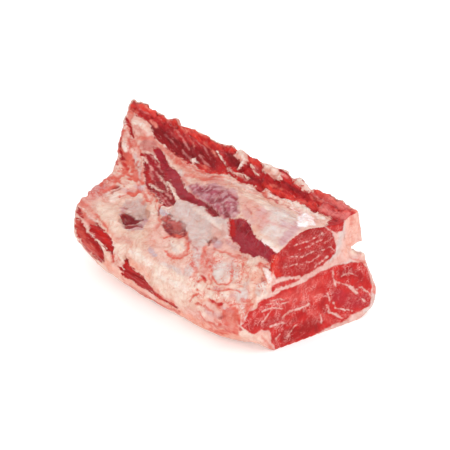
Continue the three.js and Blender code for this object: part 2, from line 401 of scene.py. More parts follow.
print("lean laid bare:", int((inner_lean > 0).sum()), "points")

# %% [markdown]
# ## The two muscles of the cut
# The cut goes across the tenderloin, above, and the strip loin, below. Thick seams of fat part
# their lobes, and finer ones run between the bundles of fibre.

# %% The muscles of the cut
CUT_TENDERLOIN = (
    275,254, 279,252, 284,247, 289,241, 294,235, 299,231, 307,228, 316,227, 325,227, 331,231,
    334,238, 336,245, 336,253, 330,259, 322,266, 313,271, 305,275, 301,278, 290,276.5, 281,277.5,
    276,279, 273,272, 271,263, 272,257,
)
CUT_STRIP_LOIN = (
    241,326, 246,319, 249,311, 256,309, 258,303, 264,299, 272,297, 280,291, 290,287, 300,284,
    312,277, 324,269.5, 335,266, 345,264, 353,262, 363,262.5, 367,268, 370,277, 371,286, 370,300,
    369,306, 360,311, 350,316, 342,322, 330,326.5, 322,331, 310,338, 300,342, 290,344, 281,350,
    275,349, 272,342, 270,331, 262,330, 255,334, 249,333, 245,330,
)
CUT_THIN_STRIP = (
    273,285, 280,282, 290,279.5, 300,279, 292,284, 283,287, 276,291, 272,294, 271,289,
)
CUT_SEAMS = [
    (1.6, (281,279, 299,277)), (2.2, (272,296, 276,290, 290,285, 303,280, 318,271)),
    (0.1, (294,246, 302,243, 311,240, 318,236, 326,232)), (0.3, (325,243, 333,237)),
    (0.3, (322,250, 330,247, 334,250)), (0.2, (287,257, 293,257, 302,257, 314,251)),
    (0.6, (315,267, 322,261, 328,256)), (0.2, (284,268, 295,264, 304,265)),
    (0.1, (300,250, 312,245, 324,238)), (0.3, (303,263, 312,261, 320,255)),
    (1.6, (270,327, 275,325, 284,323)), (1.6, (283,318, 290,311, 300,309, 310,304)),
    (1.8, (327,305, 330,312, 338,316, 342,318)), (1.2, (333,303, 335,308, 342,309, 352,311)),
    (1.0, (320,315, 321,323)), (1.0, (328,293, 330,300)), (1.0, (333,272, 334,280, 336,286)),
    (1.2, (336,282, 345,284, 352,287)), (3.0, (350,286, 354,291, 357,294)),
    (1.6, (356,290, 362,287, 368,293, 371,297)), (1.6, (363,299, 365,301)),
    (0.8, (262,322, 268,316, 272,310)), (0.8, (285,338, 292,330, 297,325)),
    (0.8, (276,340, 280,334)), (0.8, (262,312, 268,309, 275,308, 283,309)),
    (0.7, (266,305, 273,303, 281,304, 288,302)), (0.7, (270,301, 278,299, 285,300)),
    (0.7, (342,276, 350,273, 358,276)),
]
SEAM_WIDTH = 0.9  # the share of its width that a seam keeps
SEAM_FRAY = 0.9  # pixels
cut_lean = patches((CUT_TENDERLOIN, CUT_STRIP_LOIN, CUT_THIN_STRIP, FLANK_END), seen_at)
seams = union(*[strand(line, width * SEAM_WIDTH, seen_at) for width, line in CUT_SEAMS])
seams = seams + SEAM_FRAY * rough(points, 4, 2, 13)
print("muscle on the cut:", int(((cut_lean > 0) & (is_cut > 0.5)).sum()), "points")

# %% [markdown]
# ## Silverskin, membrane and sheets of fat
# Over the tenderloin lies its silverskin: pearly and almost white near the cut, and thin and
# purple further on, where the meat glows through. A torn sheet of stiff white fat lies over the
# kidney side.

# %% Coverings
SILVERSKIN = (
    238,187, 250,193, 262,198, 276,204, 290,210, 300,216, 303,222, 302,229, 294,235, 289,241,
    283,248, 277,253, 270,247, 257,238, 252,230, 249,222, 240,218, 239,205,
)
PURPLE_MEMBRANE = (
    190,186, 197,184, 205,187, 214,184, 222,187, 232,192, 240,197, 240,210, 236,216, 228,219,
    222,217, 216,211, 207,203, 196,197, 190,191,
)
FAT_SHEET = (
    172,208, 176,203, 179,200, 190,202, 197,206, 205,207, 208,213, 214,217, 224,219, 228,221,
    229,232, 229,239, 222,240, 213,238, 208,243, 203,248, 196,250, 190,243, 188,235, 186,224,
    180,222, 172,220, 170,214,
)
silverskin = patch(SILVERSKIN, seen_at)
membrane = patch(PURPLE_MEMBRANE, seen_at)
fat_sheet = patch(FAT_SHEET, seen_at)
print("silverskin:", int((silverskin > 0).sum()), "points, fat sheet:", int((fat_sheet > 0).sum()))

# %% Pads and strands of fat that lie on the lean
FAT_PADS = [
    (131,119, 138,117, 146,119, 151,126, 152,134, 146,137, 139,135, 136,130, 131,127),
    (236,149, 242,148, 247,153, 248,160, 244,167, 239,168, 238,160, 235,155),
    (261,163, 268,162, 276,166, 282,173, 283,182, 278,182, 270,175, 263,171),
    (293,178, 300,179, 311,187, 313,192, 304,190, 296,184), (190,160, 196,159, 198,163, 193,165),
]
FAT_STRANDS = [
    (1.8, (218,152, 222,158, 226,165)), (1.6, (228,168, 234,173, 241,174, 248,178)),
    (1.8, (250,163, 253,169, 258,175)), (3.4, (168,183, 171,188, 175,194, 178,200)),
    (1.4, (143,157, 148,163)), (1.6, (150,184, 157,189, 164,192)),
    (1.4, (160,176, 166,184, 168,190)), (1.6, (148,190, 156,196, 162,203)),
]
PAD_FRAY = 2.4  # pixels
uneven = PAD_FRAY * rough(points, 12, 3, 19)
pads = union(patches(FAT_PADS, seen_at) + uneven, strokes(FAT_STRANDS, seen_at))
print("pads and strands:", int((pads > 0).sum()), "points")

# %% [markdown]
# ## What lies bare, and how deep
# All that lies over the meat is taken away from the lean patches. What is left is one number for
# each point: positive where meat lies bare, and negative under fat. The rib end, which the
# photograph doesn't show, was cut between two ribs, so it shows the loin muscle in a rim of fat,
# the sawn bone and the thin flank. The hidden outer side and the underside are smooth outer fat
# with a few scars of lean.

# %% The rib end
END_MUSCLES = [  # seen from the rib end: mm across and mm up
    (38,24, 58,13, 86,9, 114,11, 138,20, 152,34, 147,47, 128,56, 102,61, 76,59, 52,51, 38,38),
    (14,32, 24,28, 33,36, 34,48, 27,55, 16,51, 10,42),
    (112,70, 120,72, 126,86, 127,104, 122,111, 115,96, 110,80),
    (134,64, 141,70, 143,92, 139,112, 134,100, 133,80),
]
END_SEAMS = [
    (2.4, (60,10, 67,26, 62,40, 70,60)), (1.8, (112,8, 104,26, 112,42, 106,62)),
    (1.4, (78,20, 90,25, 99,22)), (1.4, (82,40, 94,45, 102,41)), (1.6, (120,28, 132,36, 144,34)),
    (1.4, (44,33, 55,37)), (1.6, (116,74, 120,92, 122,108)),
]
END_BONE = (
    40,62, 52,64, 56,70, 48,75, 30,75, 18,70, 22,61,
)
END_WANDER = 4  # mm
end_wander = np.stack([rough(points, 18, 3, 5), rough(points, 18, 3, 6)], 1) * END_WANDER
end_at = np.stack([across, points[:, 2]], 1) / MM + end_wander
end_lean = np.minimum(patches(END_MUSCLES, end_at), -strokes(END_SEAMS, end_at))
end_bone = step(-1, 2, patch(END_BONE, end_at)) * is_rib_end
print("muscle on the rib end:", int(((end_lean > 0) & (is_rib_end > 0.5)).sum()), "points")

# %% Bare meat
DEEPEST = 6  # beyond this depth, in pixels, it makes no difference
scar = rough(points, (46, 20, 20), 3, 23) * 14 - 9
outer_lean = scar * 0.6 + 9 * step(100, 122, up) - 5  # the scars gather under the crest
unseen_lean = rough(points, (60, 14, 14), 3, 29) * 12 - 5

covered = union(pads, silverskin, membrane, fat_sheet)
bare = np.where(inner_lean > -REACH, np.minimum(inner_lean, -covered), -REACH)
bare = bare * seen + unseen_lean * (1 - seen)
bare = np.where(is_cut > 0.5, np.minimum(cut_lean, -seams), bare)
bare = np.where(is_rib_end > 0.5, end_lean, bare)
bare = np.where(is_back > 0.5, outer_lean, bare)
bare = np.where(is_under > 0.5, scar - 3, bare)
bare = np.clip(bare, -DEEPEST, DEEPEST)
inner_side = seen * is_inner
print("bare meat:", round(100 * (bare > 0).mean()), "% of the skin")

# %% [markdown]
# ## Colours of the fat and of the meat
# Two layers of colour are painted on, as soft as watercolour: what the fat, bone and silverskin
# look like at each place, and what the meat looks like. The finish later mixes them where meat lies
# bare and adds all that is fine and sharp. A procedural pattern alone could make fat, but not the
# fat of this joint, so the colours are laid on one by one.

# %% The palette
CREAM = (246, 221, 204)  # fat, from the palest to the reddest
IVORY = (248, 232, 220)
BEIGE = (236, 202, 182)
BLUSH = (236, 184, 170)
SALMON = (245, 194, 178)
PEACH = (243, 178, 156)
CUT_FAT = (238, 198, 190)
ROSE = (224, 146, 136)
OLD_ROSE = (208, 128, 120)
CORAL = (226, 106, 88)
BRICK = (214, 100, 88)
SEAM_RED = (190, 60, 62)
SCARLET = (200, 38, 38)
WINE = (132, 32, 42)
GARNET = (150, 50, 54)
CLAY = (202, 110, 104)
# the first colour of this group is a painted highlight, whiter than white, for the wet spot
PAINTED_GLINT = (266, 262, 262)  # bone, silverskin and membrane
CHALK = (219, 196, 189)
PEARL = (226, 208, 202)
PANE = (228, 214, 206)
DISC = (212, 182, 174)
HAZE = (210, 194, 200)
MAUVE = (208, 158, 162)
PLUM = (178, 84, 102)
BACK_MUSCLE = (206, 116, 112)
SAWN_BONE = (210, 140, 128)


def linear(red, green, blue):
    """A colour from the usual 0 to 255 values, as the linear ones that the shader needs."""
    return np.array([((part / 255 + 0.055) / 1.055) ** 2.4 for part in (red, green, blue)])


def wash(colours, colour, amount):
    """Blends a colour over the colours of all points, by an amount for each point."""
    return colours + np.clip(amount, 0, 1)[:, None] * (linear(*colour) - colours)


print("cream is", linear(*CREAM).round(2), "to the shader")

# %% The reds of the meat
MEAT = (192, 48, 50)
# the bright copy and the dark copy of the meat also serve as painted highlight and painted shade
BRIGHT_MEAT_AND_HIGHLIGHT = (232, 72, 62)
DARK_MEAT_AND_SHADE = (146, 36, 44)
PINK_MEAT = (206, 84, 82)
CUT_MEAT = (206, 50, 48)
VIOLET_MEAT = (166, 50, 62)
# painted highlights along the crest of the torn flank, in coral and in pale pink
CREST_HIGHLIGHT = (236, 96, 80)
FLANK_GLINT = (246, 150, 132)
TORN_PINK = (228, 120, 104)
FATTY_PINK = (240, 140, 134)
DEEP_RED = (166, 34, 42)
THREAD_PINK = (232, 160, 152)
OX_RED = (178, 38, 36)
WORN_RED = (216, 96, 84)
FRESH_RED = (204, 46, 40)
FILLET_RED = (186, 36, 38)
RIM_RED = (222, 54, 40)
SHADE_RED = (170, 30, 36)
DARK_LOBE = (172, 36, 40)
WINE_LOBE = (190, 50, 58)
PALE_LOBE = (222, 82, 76)
print("meat is", linear(*MEAT).round(2), "to the shader")

# %% [markdown]
# ## The ground
# The fat starts as soft blotches of blush, cream and rose. The photograph doesn't show the outer
# back. There the hide was pulled off, so the colours are drawn out along the loin, and a thin film
# of skin muscle clings to the fat.

# %% Ground colours of the fat
BACK_FILM = [  # mm along the loin and mm up
    (-150,70, -110,84, -60,92, -10,90, 30,98, 20,84, -30,76, -80,70, -120,58),
    (70,88, 110,96, 150,92, 140,78, 100,76),
]
BACK_WANDER = 9  # mm
blots = rough(points, 8, 3, 61)
fat_colours = wash(np.zeros((len(points), 3)), BLUSH, np.ones(len(points)))
fat_colours = wash(fat_colours, CREAM, 0.45 + 0.7 * rough(points, 34, 3, 67))
fat_colours = wash(fat_colours, ROSE, 0.5 * rough(points, (50, 24, 24), 3, 71) - 0.1)
hidden_back = is_back * (1 - seen)
drawn_out = rough(points, (90, 16, 12), 3, 83)
upper = step(70, 112, up)
fat_colours = wash(fat_colours, IVORY, hidden_back * (0.5 + 0.9 * drawn_out))
fat_colours = wash(fat_colours, BLUSH, hidden_back * step(0.05, 0.4, -drawn_out) * 0.8)
fat_colours = wash(fat_colours, ROSE, hidden_back * step(-0.15, 0.5, blots + upper - 0.6) * 0.8)
back_wander = np.stack([rough(points, 22, 3, 7), rough(points, 14, 3, 8)], 1) * BACK_WANDER
back_at = points[:, [0, 2]] / MM + back_wander
back_film = step(-3, 4, patches(BACK_FILM, back_at)) * hidden_back
fat_colours = wash(fat_colours, BACK_MUSCLE, back_film * 0.75)
fat_colours = wash(fat_colours, PEARL, back_film * step(0.1, 0.5, drawn_out) * 0.8)
fat_colours = wash(fat_colours, SAWN_BONE, end_bone * 0.9)
fat_colours = wash(fat_colours, CUT_FAT, is_cut * 0.7)
print("film on the back:", round(100 * (back_film > 0.5).sum() / (hidden_back > 0.5).sum()), "%")

# %% [markdown]
# ## The brush
# What the photograph shows is painted stroke by stroke, from the broad to the fine. A row of
# strokes has a colour, a softness, a strength, a width in pixels (0 for patches, which are filled)
# and its lines. Blots break up the edges, as on rough paper. Pale fat also swells, and red tissue
# sinks in.

# %% The brush
CRISP = 0.7  # how much of its softness a stroke keeps
BROKEN = 1.1  # pixels by which blots move its edge
PATCHY = 0.3  # and how much they change its strength
LIFT = {CREAM: 0.5, IVORY: 0.6, CHALK: 0.3, PEARL: 0.3, CORAL: -0.5, SCARLET: -0.7, WINE: -1.4}
facing_us = step(0, 0.4, seen)
swell = np.zeros(len(points))


def brush(colours, swell, work):
    """Paints rows of strokes, and returns the colours and how far the fat swells."""
    for colour, softness, strength, width, *lines in work:
        edge = softness * CRISP
        for line in lines:
            depth = strand(line, width, seen_at) if width else patch(line, seen_at)
            amount = step(-edge, edge, depth + BROKEN * blots) * strength * facing_us
            amount = amount * (1 + PATCHY * blots)
            colours = wash(colours, colour, amount)
            swell = swell + (LIFT.get(colour, 0) - swell) * np.clip(amount, 0, 1)
    return colours, swell


print("the brush reaches", round(100 * (facing_us > 0.5).mean()), "% of the skin")

# %% [markdown]
# ## Fat and bone
# First come the large soft fields of the bone plate, the split backbone and the rounded foot of the
# loin, and the pale fat that lies on them.

# %% Broad fields
FIELDS = [
    (BEIGE, 8, 0.9, 0, (92,200, 120,196, 156,200, 166,236, 140,252, 112,248, 98,222)),
    (BEIGE, 6, 0.8, 0, (118,250, 150,270, 182,284, 206,300, 196,312, 166,298, 140,280, 122,264)),
    (BEIGE, 5, 0.8, 0, (238,256, 262,262, 266,290, 254,306, 240,300, 238,276)),
    (BEIGE, 4, 0.8, 0, (222,174, 234,176, 246,184, 240,190, 226,186)),
    (BLUSH, 8, 0.8, 0, (80,196, 100,184, 120,184, 130,196, 110,206, 88,212)),
    (BLUSH, 6, 0.7, 0, (150,210, 162,222, 170,240, 160,252, 146,244, 148,226)),
    (BLUSH, 6, 0.8, 0, (200,244, 232,238, 252,258, 232,262, 212,268, 200,286, 192,274)),
    (BLUSH, 5, 0.9, 0, (196,306, 224,300, 240,312, 232,332, 206,328, 190,314)),
    (BLUSH, 5, 0.8, 0, (262,192, 276,197, 292,204, 288,208, 270,202)),
    (BLUSH, 5, 0.7, 0, (120,106, 134,116, 140,140, 136,160, 120,168, 116,150)),
    (BLUSH, 4, 0.8, 0, (210,222, 228,224, 230,248, 214,252, 208,238)),
    (ROSE, 4, 0.7, 9, (112,182, 98,192, 82,202)),
    (ROSE, 5, 0.6, 6, (190,318, 210,326, 226,326)),
    (ROSE, 4, 0.5, 6, (130,242, 116,238, 108,232)),
    (ROSE, 4, 0.6, 7, (114,168, 110,176, 100,188)),
    (ROSE, 4, 0.6, 0, (198,256, 214,250, 218,268, 204,276)),
    (ROSE, 4, 0.7, 0, (118,108, 130,104, 132,118, 124,140, 119,150, 117,130)),
    (ROSE, 4, 0.6, 8, (326,206, 336,214, 342,218)),
    (ROSE, 5, 0.5, 6, (178,162, 196,174, 214,182)),
    (PEACH, 4, 0.9, 9, (160,302, 190,320, 214,332, 236,337)),
    (PEACH, 4, 0.8, 0, (130,258, 146,268, 150,278, 138,272, 128,268)),
    (PEACH, 4, 0.8, 6, (176,160, 190,172, 206,180), (196,290, 206,296, 198,304)),
    (PEACH, 4, 0.7, 5, (256,188, 268,198, 284,206)),
    (PEACH, 3, 0.8, 6, (96,252, 110,266, 130,284, 150,298)),
    (PEACH, 3, 0.7, 3, (240,338, 254,341, 266,345)),
    (PEACH, 4, 0.6, 5, (104,224, 112,236, 118,246)),
    (PEACH, 5, 0.6, 0, (250,300, 262,286, 268,270, 262,262, 250,270)),
    (SALMON, 4, 0.9, 0, (348,212, 360,208, 362,240, 352,250, 346,262, 342,240)),
    (SALMON, 4, 0.8, 0, (258,330, 268,332, 272,352, 260,340)),
    (PEARL, 3, 0.9, 0, (152,262, 164,262, 182,270, 186,278, 170,276, 158,272), (238,284, 250,280,
     248,300, 238,304, 234,296)),
    (PEARL, 4, 0.9, 0, (212,264, 232,260, 240,266, 234,276, 222,282, 212,278)),
    (PEARL, 2, 0.8, 5, (136,156, 139,168, 139,180)),
    (PEARL, 2, 0.8, 6, (162,210, 166,214, 170,212)),
    (PEARL, 2, 0.7, 4, (181,172, 184,182, 190,190), (346,262, 356,258)),
    (PEARL, 3, 0.9, 8, (192,242, 198,252, 196,264, 188,272)),
    (PEARL, 3, 0.8, 5, (342,216, 343,232, 338,250, 330,260)),
    (PEARL, 3, 0.8, 4, (373,290, 373,304, 366,311)),
    (PEARL, 2, 0.8, 3, (140,186, 150,189, 160,196)),
    (PEARL, 3, 0.6, 4, (98,196, 108,194)),
    (PEARL, 3, 0.8, 0, (262,210, 276,210, 284,222, 272,230, 262,222)),
    (DISC, 1.5, 0.95, 0, (123,205, 126,199, 133,196, 141,198, 146,204, 148,212, 147,222, 143,229,
     136,232, 128,231, 122,226, 120,216)),
    (MAUVE, 2, 0.8, 4, (122,210, 124,218, 130,229, 140,228, 146,220)),
    (MAUVE, 2, 0.5, 5, (150,250, 154,255)),
    (MAUVE, 2, 0.7, 0, (211,240, 218,237, 224,242, 222,249, 214,249)),
    (MAUVE, 3, 0.5, 5, (228,242, 236,248), (92,194, 104,188)),
    (MAUVE, 2, 0.6, 4, (124,190, 132,193)),
    (MAUVE, 3, 0.6, 5, (206,312, 216,314, 226,318)),
    (MAUVE, 2, 0.6, 3, (226,296, 234,296), (216,288, 222,292)),
    (MAUVE, 3, 0.5, 4, (162,200, 156,192, 150,190)),
    (CREAM, 3, 1.0, 9, (106,247, 126,250, 146,259, 166,272, 188,283, 204,290)),
    (CREAM, 4, 0.8, 0, (152,272, 170,278, 190,290, 200,304, 184,306, 164,294, 152,282)),
    (CREAM, 3, 0.9, 6, (238,328, 246,335, 256,337, 264,338)),
    (CREAM, 3, 0.7, 6, (222,276, 232,280, 244,282), (152,206, 155,216, 153,228), (112,196, 128,198,
     142,196)),
    (CREAM, 3, 0.7, 5, (252,262, 262,264)),
    (CREAM, 3, 0.8, 7, (174,242, 180,245, 176,250)),
    (CREAM, 2, 0.9, 6, (266,268, 270,277, 268,288, 260,298, 256,306)),
    (CREAM, 2, 0.9, 4, (122,178, 128,180, 134,184, 126,187, 118,186), (196,274, 203,281, 205,288,
     200,292), (222,292, 228,294, 227,299)),
    (CREAM, 2, 0.9, 5, (125,142, 127,149), (118,252, 121,260)),
    (CREAM, 2, 0.8, 3, (208,286, 214,284)),
    (CREAM, 2, 0.7, 4, (238,326, 244,333, 254,336)),
    (CREAM, 3, 0.8, 5, (226,177, 238,184, 252,190, 264,197), (282,200, 296,206, 308,213)),
    (CREAM, 3, 0.8, 4, (186,168, 196,169, 206,176)),
    (CREAM, 3, 0.7, 9, (100,206, 112,214, 116,228)),
    (CREAM, 2, 0.8, 4, (351,252, 358,251, 363,256), (168,184, 172,190, 176,198)),
    (CREAM, 3, 0.6, 5, (240,266, 240,278)),
    (CREAM, 2, 0.7, 3, (214,298, 208,296, 202,298)),
]
fat_colours, swell = brush(fat_colours, swell, FIELDS)
print("fields:", len(FIELDS), "rows of strokes")

# %% [markdown]
# Next come the rims of the vertebrae, which are red with marrow, the two pits in the bone, whose
# dark holes are painted shade, and the cool smooth panes where cartilage shows.

# %% Rims, pits and panes
RIMS = [
    (CORAL, 1.4, 1.0, 3.4, (119,173, 126,174, 133,177, 138,184, 139,190, 134,195, 128,194)),
    (CORAL, 2, 1.0, 7, (124,152, 127,163, 125,172)),
    (CORAL, 2, 0.9, 5, (130,156, 133,168, 137,178)),
    (CORAL, 1.5, 0.8, 3, (110,190, 116,182, 124,176), (128,194, 134,196, 139,191)),
    (CORAL, 1.5, 0.7, 3, (146,188, 152,196, 151,204)),
    (CORAL, 2, 0.7, 4, (100,195, 107,190, 116,186), (209,276, 211,283), (326,208, 334,212, 342,214),
     (128,106, 131,112), (373,286, 374,291)),
    (CORAL, 2, 0.7, 5, (78,202, 84,206)),
    (CORAL, 2, 0.6, 4, (117,178, 123,176), (170,255, 177,258, 183,255, 187,247, 188,240), (193,266,
     197,271, 195,276), (242,300, 250,303, 246,309), (211,301, 217,304, 222,307), (142,192, 146,198,
     143,204), (134,136, 143,139, 152,138, 160,146, 172,156), (124,112, 128,118, 126,128, 122,136)),
    (CORAL, 1.5, 0.8, 2.5, (160,205, 159,213, 160,222)),
    (CORAL, 2, 0.8, 4, (169,234, 178,238, 187,237, 188,230)),
    (CORAL, 2, 0.55, 3, (206,248, 204,258, 201,268)),
    (CORAL, 2, 0.5, 3, (214,254, 214,266, 209,276), (224,252, 236,258, 248,262), (252,280, 250,292,
     248,302), (228,306, 236,310), (344,318, 336,322, 350,316), (88,206, 94,214, 98,222), (155,230,
     158,224)),
    (CORAL, 2, 0.6, 3, (256,264, 263,268, 266,277, 263,284), (262,336, 268,344, 272,350)),
    (CORAL, 2, 0.8, 3, (260,264, 268,268)),
    (CORAL, 2, 0.85, 7, (235,310, 236,320, 236,331)),
    (CORAL, 2, 0.75, 5, (208,330, 220,333, 234,331)),
    (CORAL, 1.5, 0.7, 2.5, (112,250, 114,261)),
    (CORAL, 1.5, 0.6, 3, (186,175, 196,178, 210,180), (178,162, 186,168), (146,166, 142,174,
     142,184)),
    (CORAL, 1.2, 0.75, 1.6, (256,189, 262,195, 270,201, 280,204, 292,208, 304,213, 309,218)),
    (CORAL, 1.5, 0.6, 2, (352,214, 351,224), (350,258, 358,260, 364,262)),
    (SCARLET, 1.5, 0.9, 3.5, (108,175, 106,181)),
    (SCARLET, 1.5, 0.8, 4, (125,165, 127,168)),
    (SCARLET, 1.5, 0.8, 3, (266,266, 270,269)),
    (SCARLET, 1.5, 0.7, 3, (142,154, 147,157)),
    # painted shade: the dark red of the second pit, over the red flesh in it
    (GARNET, 2, 0.95, 0, (161,219, 166,216, 172,219, 181,219, 187,226, 186,234, 180,238, 172,235,
     165,229)),
    (CLAY, 2, 0.9, 0, (171,222, 178,221, 184,227, 181,233, 174,230)),
    (CLAY, 1.5, 0.8, 3, (164,218, 169,222)),
    # painted shade: the dark hole of the first pit
    (WINE, 0.9, 1.0, 0, (121,217, 124,213, 129,214, 133,218, 137,222, 138,226, 133,230, 127,229,
     122,224)),
    (WINE, 1.2, 0.5, 3, (137,225, 141,226)),
    (WINE, 1.2, 0.6, 2, (113,189, 118,186)),
    (WINE, 1.2, 0.7, 2, (112,193, 120,190)),
    (WINE, 1.5, 0.7, 3, (208,242, 211,241)),
    (WINE, 1.5, 0.8, 3, (220,318, 225,316)),
    (WINE, 1.2, 0.5, 2, (262,278, 263,281), (124,208, 126,209)),
    (PANE, 2, 0.9, 0, (213,265, 222,261, 230,264, 231,273, 226,281, 217,282, 212,275)),
    (PANE, 2, 0.8, 0, (170,244, 180,243, 185,247, 181,252, 172,252), (257,284, 266,281, 267,292,
     260,299, 255,294)),
    (PANE, 2, 0.7, 0, (233,267, 240,268, 240,279, 234,280)),
    (PANE, 2, 0.7, 3, (242,306, 246,318, 247,328)),
    (HAZE, 2, 0.8, 4, (149,250, 155,255)),
    (HAZE, 2, 0.7, 4, (104,180, 110,175)),
    (HAZE, 1.5, 0.9, 5, (161,212, 166,215)),
    (HAZE, 2, 0.5, 4, (136,186, 142,188), (224,308, 232,312)),
    (HAZE, 2, 0.6, 4, (214,240, 220,243)),
    (IVORY, 1.5, 0.9, 3, (130,251, 142,257, 152,264), (249,263, 258,263), (262,286, 262,296,
     257,304)),
    (IVORY, 2, 0.8, 5, (160,276, 176,284, 190,290), (112,200, 122,196), (104,240, 112,244)),
    (IVORY, 1.5, 0.9, 4, (266,270, 268,275)),
    (IVORY, 1.5, 0.8, 3, (222,294, 227,297), (198,284, 204,286), (174,246, 180,247)),
]
fat_colours, swell = brush(fat_colours, swell, RIMS)
print("rims, pits and panes:", len(RIMS), "rows of strokes")

# %% [markdown]
# Fine creases with blood in them part the lobes of fat, and the pads of fat on the torn flank get
# their pale tops, which are painted highlights.

# %% Creases and pads
CREASES = [
    (CORAL, 1.2, 0.9, 2, (165,251, 172,258, 180,259, 187,254, 189,245), (164,239, 172,235, 181,236,
     188,240), (238,308, 238,318, 240,330)),
    (CORAL, 1.2, 1.0, 1.8, (261,264, 268,264, 272,270, 271,277)),
    (CORAL, 1.2, 0.8, 1.6, (211,266, 212,276, 217,284, 226,285, 232,281), (232,262, 233,270,
     231,280), (199,294, 193,296, 190,302), (120,198, 127,195, 136,196), (140,146, 140,158,
     136,166), (120,158, 128,164, 132,172), (112,176, 122,184, 128,190), (262,194, 276,198, 290,204,
     304,210, 316,216), (252,304, 246,312, 243,322)),
    (CORAL, 1.2, 0.7, 1.6, (243,264, 243,276, 240,284), (249,268, 247,280, 249,292), (212,178,
     224,177, 236,182, 246,188), (224,300, 230,306, 238,304), (200,312, 204,320, 212,328)),
    (CORAL, 1.2, 0.8, 1.8, (208,289, 220,291, 232,289, 240,293), (170,150, 182,160, 194,168,
     206,175)),
    (CORAL, 1.2, 0.9, 1.6, (196,282, 203,279, 208,284, 204,292, 197,290), (146,200, 152,204,
     157,201), (148,188, 153,194, 157,203, 156,210)),
    (CORAL, 1.2, 0.9, 1.8, (100,188, 108,182, 114,178, 121,176), (124,178, 131,180, 137,178,
     144,184)),
    (CORAL, 1.2, 0.8, 2, (196,304, 206,306, 214,312), (208,322, 218,325, 230,323)),
    (CORAL, 1.2, 0.7, 1.4, (214,250, 224,254, 236,254, 246,258), (204,250, 208,258, 206,268)),
    (CORAL, 1.2, 0.8, 2.4, (96,214, 102,222, 108,230)),
    (BRICK, 5, 0.45, 7, (172,156, 190,170, 210,178, 236,184, 262,196, 300,212)),
    (BRICK, 3, 0.9, 7, (122,110, 120,130, 120,150)),
    (BRICK, 3, 0.8, 5, (130,140, 128,152, 122,162)),
    (BRICK, 3, 0.8, 7, (80,212, 86,218, 92,222)),
    (BRICK, 2, 0.8, 4, (150,300, 164,307, 178,312)),
    (BRICK, 2, 0.6, 4, (126,284, 138,292, 150,299)),
    (OLD_ROSE, 2, 0.85, 0, PINK_PATCH),
    (IVORY, 1.5, 0.9, 3, (127,116, 126,128)),
    (IVORY, 1.5, 0.9, 4, (126,142, 126,150)),
    (IVORY, 1.2, 0.8, 1.6, (131,140, 138,150, 140,160), (84,210, 90,218, 98,222)),
    (CREAM, 2, 0.8, 5, (248,270, 256,270), (252,284, 251,296), (212,292, 218,296), (228,318,
     233,325), (176,244, 182,250)),
    (CREAM, 2, 0.8, 4, (232,286, 242,288), (200,308, 206,314), (216,256, 226,257)),
    (SCARLET, 1.2, 0.9, 2, (74,203, 84,194, 94,186, 103,178), (118,158, 120,166), (201,277,
     207,280)),
    (SCARLET, 1.2, 0.9, 2.4, (212,301, 218,304, 223,304)),
    (SCARLET, 1.2, 0.8, 2, (239,321, 241,331)),
    (SCARLET, 1.2, 0.8, 1.8, (163,205, 158,211)),
    (SCARLET, 1.2, 0.8, 1.6, (170,236, 178,238, 186,236), (133,160, 138,168), (112,252, 113,260)),
    (SCARLET, 1.2, 0.7, 1.6, (226,330, 234,332)),
    # painted shade: dark strokes in and round the two pits
    (WINE, 1.0, 0.8, 1.6, (159,209, 158,215)),
    (WINE, 1.2, 0.9, 2.4, (163,224, 167,231, 174,236), (183,222, 187,230, 184,236)),
    (WINE, 1.0, 0.8, 1.8, (168,218, 166,224)),
    (WINE, 1.0, 0.8, 1.4, (114,188, 119,186), (112,193, 118,191)),
    (WINE, 1.0, 0.7, 1.4, (136,222, 143,220), (135,226, 142,227), (210,240, 209,246)),
    (BLUSH, 1.5, 0.9, 0, *FAT_PADS),
    # painted highlights on the tops of the pads and strands of fat
    (IVORY, 2, 0.9, 5, (134,122, 141,124, 148,130, 147,134)),
    (IVORY, 2, 0.9, 4, (241,152, 244,160, 241,166), (265,166, 272,168, 279,176)),
    (IVORY, 2, 0.7, 4, (298,182, 308,189)),
    (IVORY, 1.5, 0.9, 4, (193,161, 196,162)),
    (IVORY, 1.5, 0.7, 2, (218,152, 222,158, 226,165)),
    (ROSE, 1.5, 0.7, 3, (136,128, 142,132)),
    (ROSE, 2, 0.8, 6, (326,208, 336,213, 343,218)),
    (ROSE, 1.5, 0.6, 2, (238,160, 246,162), (270,174, 276,178)),
]
fat_colours, swell = brush(fat_colours, swell, CREASES)
print("creases and pads:", len(CREASES), "rows of strokes")
